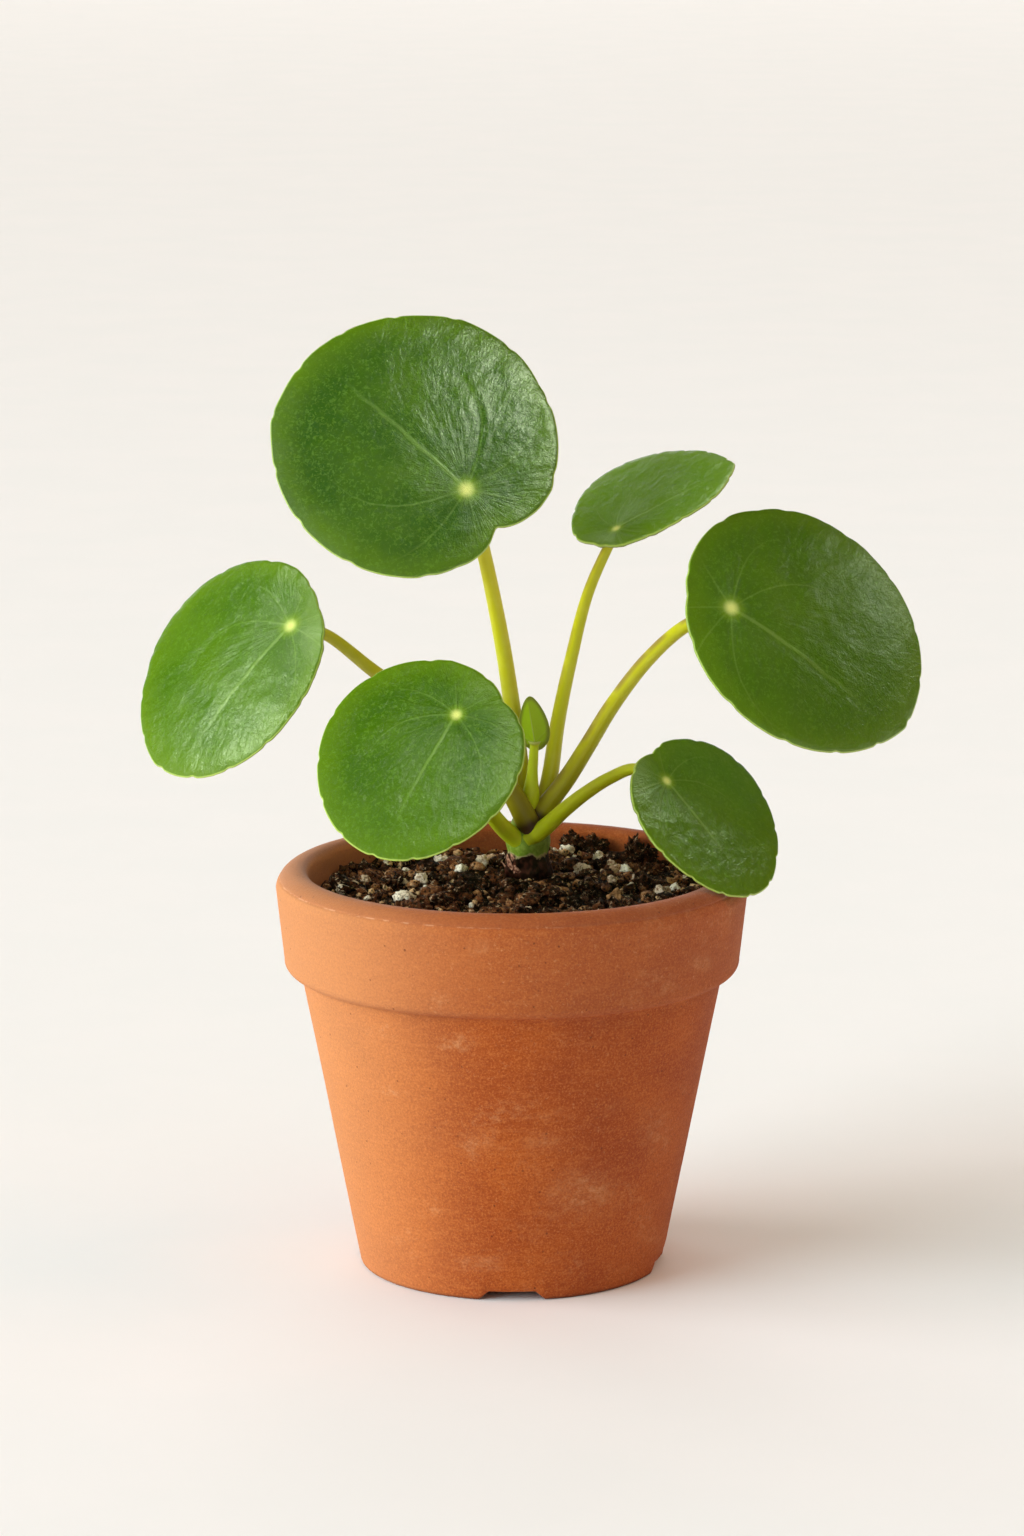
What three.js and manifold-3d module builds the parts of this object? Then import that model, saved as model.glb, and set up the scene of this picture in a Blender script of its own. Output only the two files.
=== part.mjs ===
// Potted pilea. A terracotta pot filled with gritty soil holds a young plant: a short woody
// stem with a green crown, and long petioles that carry round, coin-shaped leaves.
// Millimetres, +Z up. The pot stands on z = 0 and the plant's front faces -Y.

import * as THREE from "three";
import { mergeVertices } from "three/addons/utils/BufferGeometryUtils.js";
import Module from "manifold-3d";

const wasm = await Module();
wasm.setup();

// Clearance between pieces that touch on the real plant.
const GAP = 0.3;
// How far a cutter runs on past what it cuts.
const CUT_OVERRUN = 1;
// Vertices closer together than this are one.
const MERGE_DISTANCE = 1e-4;

// Pot, outside.
const POT_HEIGHT = 94.4;
const RIM_RADIUS = 55;
const FOOT_RADIUS = 35.5;
const FOOT_CHAMFER = 0.7;
const LEDGE_HEIGHT = 70.4;
const LEDGE_INNER_RADIUS = 49.2;
const LEDGE_FILLET = 1.6;
const COLLAR_FOOT_RADIUS = 52.95;
const COLLAR_CORNER = 2.4;
// Degrees by which the collar's wall leans outwards.
const COLLAR_LEAN = 5;
const LIP_OUTER_ROUND = 5;
const LIP_INNER_ROUND = 2.4;

// Pot, inside and underneath.
const MOUTH_RADIUS = 47.3;
const FLOOR_RADIUS = 31.5;
const FLOOR_HEIGHT = 8;
const FOOT_RING_INNER_RADIUS = 29;
const FOOT_RECESS = 2.5;
const DRAIN_RADIUS = 6;
const POT_SEGMENTS = 56;

// Notches through the foot ring, so that water can run out.
const NOTCH_ANGLES = [0, 79, 180, 259];
const NOTCH_HEIGHT = 2;
const NOTCH_TOP_WIDTH = 11;
const NOTCH_BOTTOM_WIDTH = 15;

// Soil.
const SOIL_TOP = 88;
const MOUND_HEIGHT = 1.6;
const MOUND_WIDTH = 16;
// Two waves cross on the surface. Lengths along X and Y, and how far the short one is shifted.
const WAVE_HEIGHT = 0.7;
const SHORT_WAVE = [20, 23];
const LONG_WAVE = [48, 33];
const WAVE_SHIFT = [4, -2];
const SOIL_SEGMENTS = 40;
const SOIL_RINGS = [0.96, 0.82, 0.66, 0.5, 0.34, 0.18];

// Crumbs on the soil.
const CRUMB_COUNT = 44;
const CRUMB_SEED = 4127;
const CRUMB_RADIUS = [1.3, 2.7];
const CRUMB_STRETCH = [1, 1.25];
const CRUMB_FLATNESS = [0.75, 1.15];
const CRUMB_SINK = 0.35;
const CRUMB_SPREAD = 1.3;
const SOIL_EDGE_CLEARANCE = 3.4;

// Stem: where its axis stands, and its outline as [radius, height] from the root up.
const STEM_POINT = [3.8, 13];
const STEM_ROOT_RADIUS = 5.2;
const STEM_ROOT_HEIGHT = 66;
const STEM_OUTLINE = [
  [STEM_ROOT_RADIUS, STEM_ROOT_HEIGHT],
  [STEM_ROOT_RADIUS, 90],
  [4.3, 92.6],
  [3.4, 94.2],
  [4.5, 96],
  [4.9, 98.4],
  [3.9, 100.6],
  [3.1, 103.6],
  [1.9, 106],
];
const STEM_CAP = 1;
const STEM_SEGMENTS = 20;

// Leaf blades.
const BLADE_THICKNESS = 0.8;
const BLADE_MESH = { sectors: 36, rings: [0.2, 0.45, 0.68, 0.87, 1] };
const DOME_REFERENCE_RADIUS = 28;
const RIB_HEIGHT = 0.3;
const RIB_DIRECTIONS = [0, 48, -48, 100, -100];
const RIB_END = 0.7;
const CRENATION = 0.22;
const CRENATION_COUNT = 11;
const CORNER_COUNT = 3;
const BLADE_WAVE = 0.35;
const BLADE_WAVE_COUNT = 3;

// Each leaf hangs on a petiole that meets its underside at one spot, off the blade's middle.
//   spot    where the petiole meets the blade
//   facing  azimuth and elevation, in degrees, of the way the upper side looks
//   turn    degrees from the blade's level line, rising to the left, to its tip
//   length  along the midrib, and width across it
//   middle  the blade's middle, counted from the spot: along the midrib, and to its left
//   lobes   how far three rounded corners stand out of the oval, and where the first lies
//   dome    how far the blade falls away at the dome's reference radius
//   notches nicks in the edge: [degrees from the tip round the middle, depth, half width]
//   route   the petiole's way from the crown to the blade
//   thick   the petiole's diameter at the crown and below the blade
const LEAVES = [
  {
    spot: [-10.4, -4, 183.5],
    facing: [-90.4, 28.2],
    turn: 135.4,
    length: 67.2,
    width: 64.6,
    middle: [17.5, -0.2],
    lobes: [0.3, 15],
    dome: 2.5,
    notches: [[176, 4, 10], [163, 2, 22], [-62, 0.7, 8], [4, 0.6, 9], [96, 0.5, 9]],
    route: [[2.9, 15.4, 104], [1.6, 15, 116.5], [-0.2, 13, 131.2], [-2.1, 10, 146], [-6.4, 3, 169.4]],
    thick: [4.1, 2.8],
  },
  {
    spot: [-51.4, 4, 150.5],
    facing: [-125.2, 35.7],
    turn: -120.2,
    length: 55.3,
    width: 53.2,
    middle: [16.9, -8.2],
    lobes: [0.4, 4],
    dome: 3.5,
    notches: [[160, 0.9, 10], [-60, 0.4, 9]],
    route: [[4.2, 10.4, 101.6], [-0.5, 9.5, 110.5], [-14, 9, 126.7], [-31.2, 9, 138.6], [-43.4, 9, 148]],
    thick: [4.6, 2.3],
  },
  {
    spot: [-12.7, -24, 134.9],
    facing: [-104.7, 37.9],
    turn: -111.9,
    length: 49.8,
    width: 47.8,
    middle: [12.5, -3.3],
    lobes: [0.5, 15],
    dome: 3,
    notches: [[168, 0.8, 10], [150, 1.6, 20], [-120, 0.4, 9]],
    route: [[2.6, 10.6, 97.6], [-0.5, 9, 100.1], [-4.2, 4, 105.2], [-8.5, -6, 115], [-11.8, -17, 126.5]],
    thick: [3.9, 2.6],
  },
  {
    spot: [24.2, 20, 170.9],
    facing: [-135.4, 58.1],
    turn: 60.3,
    length: 39.8,
    width: 38.2,
    middle: [11.1, 7.3],
    lobes: [1, -27],
    dome: 1.5,
    notches: [[-152, 1.4, 11], [36, 0.3, 10]],
    route: [[5, 14.2, 101], [8, 16.6, 109], [10.5, 18, 125.3], [13.8, 19.5, 139.5], [18.3, 20.5, 155.5]],
    thick: [4, 2.4],
  },
  {
    spot: [50.7, 2, 155],
    facing: [-70.1, 34.6],
    turn: -37.7,
    length: 63.3,
    width: 60.9,
    middle: [17.8, 8.8],
    lobes: [0.2, 0],
    dome: 4,
    notches: [[-158, 0.9, 10], [138, 0.5, 9], [-5, 0.6, 9]],
    route: [[6, 12.3, 103.8], [12.6, 12, 112.6], [17.5, 12, 120.5], [23.6, 12, 130.4], [32, 11.5, 141.2],
      [40.6, 9.5, 149.2]],
    thick: [4, 2.6],
  },
  {
    spot: [35.6, -14, 117.6],
    facing: [-52.2, 40.9],
    turn: -70.3,
    length: 40.9,
    width: 39.3,
    middle: [11.7, 3.8],
    lobes: [0.55, -7],
    dome: 2.5,
    notches: [[-174, 1.4, 11], [-10, 0.5, 9]],
    route: [[5, 9.4, 99.6], [7.5, 8.5, 101.6], [12.1, 5, 106.6], [17.4, 1, 111.7], [22.7, -3, 115.9],
      [28.2, -7, 118.8]],
    thick: [4, 2.7],
  },
];

// The youngest leaf still stands upright and half folded in the middle of the crown.
const BUD = {
  spot: [5, 10.4, 119.4],
  facing: [-84, -2],
  turn: 94,
  length: 13.6,
  width: 6.2,
  middle: [5.6, 0],
  lobes: [0, 0],
  dome: 4,
  point: 0.35,
  notches: [],
  route: [[4.4, 12.6, 105], [4.5, 12, 110], [4.8, 11.4, 115]],
  thick: [3.2, 1.8],
};
const BUD_MESH = { sectors: 18, rings: [0.45, 1] };

// The leaves by number, as their petioles leave the crown from the lowest to the highest, and
// how many of them leave it below the youngest leaf.
const UPWARD_ORDER = [3, 6, 2, 5, 1, 4];
const BUD_PLACE = 4;

const PETIOLE_SIDES = 9;
const PETIOLE_STEPS = 13;
// How quickly a petiole thins above its base.
const PETIOLE_FLARE_POWER = 0.55;
// How far the cutter that ends a petiole reaches over the blade's upper side.
const CUTTER_DEPTH = 3;

const terracotta = new THREE.MeshStandardMaterial({ color: 0xc87345, roughness: 0.85, metalness: 0 });
const peat = new THREE.MeshStandardMaterial({ color: 0x33241b, roughness: 1, metalness: 0 });
const bark = new THREE.MeshStandardMaterial({ color: 0x6b7a2e, roughness: 0.7, metalness: 0 });
const stalk = new THREE.MeshStandardMaterial({ color: 0x9aa83a, roughness: 0.5, metalness: 0 });
const leafGreen = new THREE.MeshStandardMaterial({ color: 0x3c7a22, roughness: 0.4, metalness: 0 });

const radians = THREE.MathUtils.degToRad;

// The "minimal standard" random numbers, from 0 to 1.
function seededRandom(seed) {
  const multiplier = 16807;
  const modulus = 2 ** 31 - 1;
  let state = seed;
  return () => {
    state = (state * multiplier) % modulus;
    return state / modulus;
  };
}

// Solids ------------------------------------------------------------------------------------

// Merges shared vertices, drops triangles without area, and turns the faces outwards.
function closed(geometry) {
  geometry.deleteAttribute("normal");
  geometry.deleteAttribute("uv");
  const merged = mergeVertices(geometry, MERGE_DISTANCE);
  const position = merged.attributes.position;
  const [a, b, c] = [new THREE.Vector3(), new THREE.Vector3(), new THREE.Vector3()];
  const triangles = [];
  let volume = 0;
  for (let i = 0; i < merged.index.count; i += 3) {
    const corners = [0, 1, 2].map((k) => merged.index.getX(i + k));
    if (new Set(corners).size < 3) continue;
    triangles.push(corners);
    [a, b, c].forEach((v, k) => v.fromBufferAttribute(position, corners[k]));
    volume += a.dot(b.cross(c));
  }
  if (volume < 0) triangles.forEach((corners) => corners.reverse());
  merged.setIndex(triangles.flat());
  return merged;
}

function toManifold(geometry) {
  const body = closed(geometry);
  const mesh = new wasm.Mesh({
    numProp: 3,
    vertProperties: new Float32Array(body.attributes.position.array),
    triVerts: new Uint32Array(body.index.array),
  });
  return new wasm.Manifold(mesh);
}

function fromManifold(manifold) {
  const mesh = manifold.getMesh();
  const geometry = new THREE.BufferGeometry();
  geometry.setAttribute("position", new THREE.BufferAttribute(mesh.vertProperties, 3));
  geometry.setIndex(new THREE.BufferAttribute(mesh.triVerts, 1));
  return geometry;
}

function largestPiece(manifold) {
  const pieces = manifold.decompose();
  pieces.sort((p, q) => q.volume() - p.volume());
  return pieces[0];
}

// Turns an outline of [radius, height] round the Z axis.
function turned(outline, segments) {
  const points = outline.map(([radius, height]) => new THREE.Vector2(radius, height));
  return new THREE.LatheGeometry(points, segments).rotateX(Math.PI / 2);
}

// Points on an arc of an outline, from one angle to another in degrees.
function arc(radius, height, size, from, to, steps) {
  return Array.from({ length: steps + 1 }, (_, i) => {
    const angle = radians(from + ((to - from) * i) / steps);
    return [radius + size * Math.cos(angle), height + size * Math.sin(angle)];
  });
}

// Points on a bend that leaves its start towards a corner and reaches its end from there.
function bend(start, corner, end, steps) {
  return Array.from({ length: steps + 1 }, (_, i) => {
    const t = i / steps;
    return start.map((value, k) => (1 - t) ** 2 * value + 2 * t * (1 - t) * corner[k] + t ** 2 * end[k]);
  });
}

function named(name, geometry, material) {
  const mesh = new THREE.Mesh(geometry, material);
  mesh.name = name;
  return mesh;
}

// Pot ---------------------------------------------------------------------------------------

// Radius of the pot's inner wall at a height, between its floor and its mouth.
function innerRadius(height) {
  const rise = (height - FLOOR_HEIGHT) / (POT_HEIGHT - LIP_INNER_ROUND - FLOOR_HEIGHT);
  return FLOOR_RADIUS + (MOUTH_RADIUS - FLOOR_RADIUS) * rise;
}

function potOutline() {
  const bodySlope = (LEDGE_INNER_RADIUS - FOOT_RADIUS) / LEDGE_HEIGHT;
  const bodyEnd = [LEDGE_INNER_RADIUS - bodySlope * LEDGE_FILLET, LEDGE_HEIGHT - LEDGE_FILLET];
  const ledgeCorner = [LEDGE_INNER_RADIUS, LEDGE_HEIGHT];
  const ledgeStart = [LEDGE_INNER_RADIUS + LEDGE_FILLET, LEDGE_HEIGHT];
  const collarCentre = [COLLAR_FOOT_RADIUS - COLLAR_CORNER, LEDGE_HEIGHT + COLLAR_CORNER];
  const lipCentre = [RIM_RADIUS - LIP_OUTER_ROUND, POT_HEIGHT - LIP_OUTER_ROUND];
  const innerLipCentre = [MOUTH_RADIUS + LIP_INNER_ROUND, POT_HEIGHT - LIP_INNER_ROUND];
  const outline = [
    [FOOT_RING_INNER_RADIUS, 0],
    [FOOT_RADIUS - FOOT_CHAMFER, 0],
    [FOOT_RADIUS + bodySlope * FOOT_CHAMFER, FOOT_CHAMFER],
    ...bend(bodyEnd, ledgeCorner, ledgeStart, 3),
    ...arc(...collarCentre, COLLAR_CORNER, -75, COLLAR_LEAN, 3),
    ...arc(...lipCentre, LIP_OUTER_ROUND, COLLAR_LEAN, 90, 5),
    ...arc(...innerLipCentre, LIP_INNER_ROUND, 90, 180, 3),
    [innerRadius(POT_HEIGHT / 2), POT_HEIGHT / 2],
    [FLOOR_RADIUS, FLOOR_HEIGHT],
    [DRAIN_RADIUS, FLOOR_HEIGHT],
    [DRAIN_RADIUS, FOOT_RECESS],
    [FOOT_RING_INNER_RADIUS - FOOT_RECESS, FOOT_RECESS],
  ];
  return [...outline, outline[0]];
}

// A bar with a trapezoid section that crosses the foot ring at one angle from the front.
function footNotch(angle) {
  const spread = (NOTCH_BOTTOM_WIDTH - NOTCH_TOP_WIDTH) / NOTCH_HEIGHT;
  const lowWidth = NOTCH_BOTTOM_WIDTH + spread * CUT_OVERRUN;
  const section = new THREE.Shape([
    new THREE.Vector2(-lowWidth / 2, -CUT_OVERRUN),
    new THREE.Vector2(lowWidth / 2, -CUT_OVERRUN),
    new THREE.Vector2(NOTCH_TOP_WIDTH / 2, NOTCH_HEIGHT),
    new THREE.Vector2(-NOTCH_TOP_WIDTH / 2, NOTCH_HEIGHT),
  ]);
  const inside = FOOT_RING_INNER_RADIUS - FOOT_RECESS * 2;
  const depth = FOOT_RADIUS + CUT_OVERRUN - inside;
  const bar = new THREE.ExtrudeGeometry(section, { depth, bevelEnabled: false });
  bar.translate(0, 0, inside).rotateX(Math.PI / 2).rotateZ(radians(angle));
  return toManifold(bar);
}

function makePot() {
  let pot = toManifold(turned(potOutline(), POT_SEGMENTS));
  NOTCH_ANGLES.forEach((angle) => {
    pot = pot.subtract(footNotch(angle));
  });
  return named("pot", fromManifold(pot), terracotta);
}

// Stem --------------------------------------------------------------------------------------

function stemSolid(clearance) {
  const outline = STEM_OUTLINE.map(([radius, height]) => [radius + clearance, height]);
  const [, rootHeight] = outline[0];
  const [, crownHeight] = outline[outline.length - 1];
  const capped = [[0, rootHeight - clearance], ...outline, [0, crownHeight + STEM_CAP + clearance]];
  return toManifold(turned(capped, STEM_SEGMENTS).translate(...STEM_POINT, 0));
}

// Soil --------------------------------------------------------------------------------------

function soilHeight(x, y) {
  const nearStem = Math.hypot(x - STEM_POINT[0], y - STEM_POINT[1]);
  const mound = MOUND_HEIGHT * Math.exp(-((nearStem / MOUND_WIDTH) ** 2));
  const turn = 2 * Math.PI;
  const shortWave = Math.sin((turn * (x + WAVE_SHIFT[0])) / SHORT_WAVE[0])
    * Math.cos((turn * (y + WAVE_SHIFT[1])) / SHORT_WAVE[1]);
  const longWave = Math.sin(turn * (x / LONG_WAVE[0] - y / LONG_WAVE[1]));
  return SOIL_TOP + mound + WAVE_HEIGHT * (shortWave + longWave);
}

function soilBody() {
  const bottom = FLOOR_HEIGHT + GAP;
  const edge = innerRadius(SOIL_TOP) - GAP;
  const outline = [[0, bottom], [innerRadius(bottom) - GAP, bottom], [edge, SOIL_TOP]];
  SOIL_RINGS.forEach((ring) => outline.push([edge * ring, SOIL_TOP]));
  outline.push([0, SOIL_TOP]);
  const geometry = turned(outline, SOIL_SEGMENTS);
  const position = geometry.attributes.position;
  for (let i = 0; i < position.count; i += 1) {
    const [x, y, z] = [position.getX(i), position.getY(i), position.getZ(i)];
    const onTop = z > SOIL_TOP - MERGE_DISTANCE;
    const atWall = Math.hypot(x, y) > edge - MERGE_DISTANCE;
    if (onTop && !atWall) position.setZ(i, soilHeight(x, y));
  }
  return toManifold(geometry);
}

// Crumbs of peat and grit, each sunk into the surface at a seeded place.
function soilCrumbs() {
  const random = seededRandom(CRUMB_SEED);
  const between = ([low, high], share) => low + (high - low) * share;
  const reach = innerRadius(SOIL_TOP) - SOIL_EDGE_CLEARANCE;
  const crumbs = [];
  while (crumbs.length < CRUMB_COUNT) {
    const angle = random() * 2 * Math.PI;
    const distance = reach * Math.sqrt(random());
    const [x, y] = [distance * Math.cos(angle), distance * Math.sin(angle)];
    const size = between(CRUMB_RADIUS, random() ** 2);
    const fromStem = Math.hypot(x - STEM_POINT[0], y - STEM_POINT[1]);
    if (fromStem < STEM_ROOT_RADIUS + CUT_OVERRUN + size * CRUMB_SPREAD) continue;
    const crumb = new THREE.IcosahedronGeometry(size, 0);
    crumb.rotateX(random() * Math.PI).rotateY(random() * Math.PI);
    crumb.scale(between(CRUMB_STRETCH, random()), 1, between(CRUMB_FLATNESS, random()));
    crumb.translate(x, y, soilHeight(x, y) + size * CRUMB_SINK);
    crumbs.push(toManifold(crumb));
  }
  return crumbs;
}

function makeSoil() {
  let soil = soilBody();
  soilCrumbs().forEach((crumb) => {
    soil = soil.add(crumb);
  });
  const hole = new THREE.CylinderGeometry(
    STEM_ROOT_RADIUS + GAP,
    STEM_ROOT_RADIUS + GAP,
    POT_HEIGHT - STEM_ROOT_HEIGHT + GAP,
    STEM_SEGMENTS,
  );
  hole.rotateX(Math.PI / 2).translate(...STEM_POINT, (POT_HEIGHT + STEM_ROOT_HEIGHT - GAP) / 2);
  return named("soil", fromManifold(largestPiece(soil.subtract(toManifold(hole)))), peat);
}

// Leaves ------------------------------------------------------------------------------------

// The blade's own axes: X along the midrib to the tip, Z out of the upper side.
function bladeAxes(leaf) {
  const [azimuth, elevation] = leaf.facing.map(radians);
  const level = new THREE.Vector3(-Math.sin(azimuth), Math.cos(azimuth), 0);
  const face = new THREE.Vector3(
    Math.cos(elevation) * Math.cos(azimuth),
    Math.cos(elevation) * Math.sin(azimuth),
    Math.sin(elevation),
  );
  const uphill = new THREE.Vector3().crossVectors(face, level);
  const turn = radians(leaf.turn);
  const tip = level.multiplyScalar(Math.cos(turn)).addScaledVector(uphill, Math.sin(turn));
  const left = new THREE.Vector3().crossVectors(face, tip);
  return new THREE.Matrix4().makeBasis(tip, left, face).setPosition(...leaf.spot);
}

function turnBetween(a, b) {
  return Math.abs(((((a - b) % 360) + 540) % 360) - 180);
}

// A point of the blade's edge, by its angle from the tip round the blade's middle. A margin
// pushes the edge outwards.
function edgePoint(leaf, degrees, margin) {
  const angle = radians(degrees);
  const cut = leaf.notches.reduce((sum, [at, depth, halfWidth]) => {
    const near = Math.max(0, 1 - turnBetween(degrees, at) / halfWidth);
    return sum + depth * near;
  }, 0);
  const wave = leaf.notches.length ? CRENATION * Math.sin(angle * CRENATION_COUNT + leaf.length) : 0;
  const narrowing = 1 - (leaf.point ?? 0) * Math.cos(angle);
  const [corner, cornerAt] = leaf.lobes;
  const change = margin + wave - cut + corner * Math.cos(CORNER_COUNT * (angle - radians(cornerAt)));
  return new THREE.Vector2(
    leaf.middle[0] + (leaf.length / 2 + change) * Math.cos(angle),
    leaf.middle[1] + (leaf.width / 2 + change) * Math.sin(angle) * narrowing,
  );
}

// Height of the upper side over the flat blade: a dome with a slow wave towards the edge.
function bladeHeight(leaf, x, y) {
  const away = (Math.hypot(x, y) / DOME_REFERENCE_RADIUS) ** 2;
  const wave = leaf.point ? 0 : BLADE_WAVE * Math.sin(Math.atan2(y, x) * BLADE_WAVE_COUNT + leaf.width);
  return (wave - leaf.dome) * away;
}

// Upper and lower side share one pattern of triangles, with the lower side straight below.
// The thickness lies between `above` and `below` the upper side. A blade grown all round by
// these and a margin serves as a cutter for its own petiole.
function bladeSolid(leaf, { above, below, margin }) {
  const { sectors, rings } = leaf.point ? BUD_MESH : BLADE_MESH;
  const start = leaf.notches.length ? leaf.notches[0][0] : 0;
  const spokes = Array.from({ length: sectors }, (_, i) => {
    return edgePoint(leaf, start + (i * 360) / sectors, margin);
  });
  const ribbed = spokes.map((edge) => {
    const direction = THREE.MathUtils.radToDeg(Math.atan2(edge.y, edge.x));
    return RIB_DIRECTIONS.some((rib) => turnBetween(direction, rib) < 180 / sectors);
  });
  const upper = [[0, 0, 0]];
  rings.forEach((ring) => {
    spokes.forEach((edge, i) => {
      const [x, y] = [edge.x * ring, edge.y * ring];
      const rib = ribbed[i] && !leaf.point ? RIB_HEIGHT * Math.max(0, 1 - ring / RIB_END) : 0;
      upper.push([x, y, bladeHeight(leaf, x, y) + rib]);
    });
  });
  const vertices = [
    ...upper.map(([x, y, z]) => [x, y, z + above]),
    ...upper.map(([x, y, z]) => [x, y, z - below]),
  ];
  const lower = upper.length;
  const at = (ring, spoke) => 1 + ring * sectors + (spoke % sectors);
  const triangles = [];
  const bothSides = (p, q, r) => triangles.push([p, q, r], [lower + r, lower + q, lower + p]);
  for (let spoke = 0; spoke < sectors; spoke += 1) {
    bothSides(0, at(0, spoke), at(0, spoke + 1));
    for (let ring = 0; ring + 1 < rings.length; ring += 1) {
      bothSides(at(ring, spoke), at(ring + 1, spoke), at(ring + 1, spoke + 1));
      bothSides(at(ring, spoke), at(ring + 1, spoke + 1), at(ring, spoke + 1));
    }
    const [here, next] = [at(rings.length - 1, spoke), at(rings.length - 1, spoke + 1)];
    triangles.push([here, lower + here, lower + next], [here, lower + next, next]);
  }
  const geometry = new THREE.BufferGeometry();
  geometry.setAttribute("position", new THREE.Float32BufferAttribute(vertices.flat(), 3));
  geometry.setIndex(triangles.flat());
  return geometry;
}

function makeBlade(name, leaf) {
  const solid = closed(bladeSolid(leaf, { above: 0, below: BLADE_THICKNESS, margin: 0 }));
  const blade = named(name, solid, leafGreen);
  blade.applyMatrix4(bladeAxes(leaf));
  return blade;
}

// Petioles ----------------------------------------------------------------------------------

// A round rod along a curve, with a radius for each step from its base (0) to its tip (1).
// It runs on past both ends of the curve by `overrun`.
function taperedRod(curve, radiusAt, overrun) {
  const frames = curve.computeFrenetFrames(PETIOLE_STEPS, false);
  const vertices = [];
  const ends = [];
  for (let step = 0; step <= PETIOLE_STEPS; step += 1) {
    const along = step / PETIOLE_STEPS;
    const atEnd = Math.sign(along - 0.5) * (along % 1 === 0 ? overrun : 0);
    const centre = curve.getPointAt(along).addScaledVector(frames.tangents[step], atEnd);
    if (along % 1 === 0) ends.push(...centre);
    for (let side = 0; side < PETIOLE_SIDES; side += 1) {
      const angle = (side * 2 * Math.PI) / PETIOLE_SIDES;
      const corner = centre.clone();
      corner.addScaledVector(frames.normals[step], radiusAt(along) * Math.cos(angle));
      corner.addScaledVector(frames.binormals[step], radiusAt(along) * Math.sin(angle));
      vertices.push(...corner);
    }
  }
  const base = vertices.length / 3;
  const tip = base + 1;
  vertices.push(...ends);
  const at = (step, side) => step * PETIOLE_SIDES + (side % PETIOLE_SIDES);
  const triangles = [];
  for (let side = 0; side < PETIOLE_SIDES; side += 1) {
    for (let step = 0; step < PETIOLE_STEPS; step += 1) {
      triangles.push(at(step, side), at(step, side + 1), at(step + 1, side + 1));
      triangles.push(at(step, side), at(step + 1, side + 1), at(step + 1, side));
    }
    triangles.push(base, at(0, side + 1), at(0, side));
    triangles.push(tip, at(PETIOLE_STEPS, side), at(PETIOLE_STEPS, side + 1));
  }
  const geometry = new THREE.BufferGeometry();
  geometry.setAttribute("position", new THREE.Float32BufferAttribute(vertices, 3));
  geometry.setIndex(triangles);
  return geometry;
}

function petioleSolid(leaf, clearance) {
  const points = [...leaf.route, leaf.spot].map((point) => new THREE.Vector3(...point));
  const curve = new THREE.CatmullRomCurve3(points, false, "centripetal");
  const [baseRadius, tipRadius] = leaf.thick.map((diameter) => diameter / 2);
  const radiusAt = (along) => {
    const thinned = along ** PETIOLE_FLARE_POWER;
    return baseRadius + (tipRadius - baseRadius) * thinned + clearance;
  };
  return toManifold(taperedRod(curve, radiusAt, clearance));
}

// Petioles crowd round the crown, so each is cut clear of the crown, of its own blade and of
// the petioles that were placed before it, lowest first.
function makePetioles(leaves) {
  const placed = [stemSolid(GAP)];
  return leaves.map(({ name, leaf }) => {
    const grown = { above: CUTTER_DEPTH, below: BLADE_THICKNESS + GAP, margin: GAP };
    const cutter = bladeSolid(leaf, grown);
    cutter.applyMatrix4(bladeAxes(leaf));
    let petiole = petioleSolid(leaf, 0).subtract(toManifold(cutter));
    placed.forEach((neighbour) => {
      petiole = petiole.subtract(neighbour);
    });
    placed.push(petioleSolid(leaf, GAP));
    return named(name, fromManifold(largestPiece(petiole)), stalk);
  });
}

// Plant -------------------------------------------------------------------------------------

const plant = new THREE.Group();
plant.add(makePot());
plant.add(makeSoil());
plant.add(named("stem", fromManifold(stemSolid(0)), bark));

LEAVES.forEach((leaf, i) => plant.add(makeBlade(`leaf_${i + 1}`, leaf)));
plant.add(makeBlade("bud_leaf", BUD));

const growing = UPWARD_ORDER.map((number) => ({ name: `petiole_${number}`, leaf: LEAVES[number - 1] }));
growing.splice(BUD_PLACE, 0, { name: "bud_petiole", leaf: BUD });
plant.add(...makePetioles(growing));

// The whole plant's box stands centred over the origin.
const box = new THREE.Box3().setFromObject(plant, true);
const centre = box.getCenter(new THREE.Vector3());
plant.position.set(-centre.x, -centre.y, 0);

const part = new THREE.Group();
part.add(plant);

export default part;
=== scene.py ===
# %% [markdown]
# # A young pilea in a clay pot
# A pilea grows round, coin-shaped leaves on long stalks. Here six of them and one that has
# just opened leave the short crown of a plant in a terracotta pot.
# The plain solids of every piece come in first, as a fixed frame that nothing moves. Each is
# then replaced by a finer piece that stands exactly where its solid stands.

# %% Load the frame
import math
import random

import bmesh
import bpy
from mathutils import Matrix, Vector, noise


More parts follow.
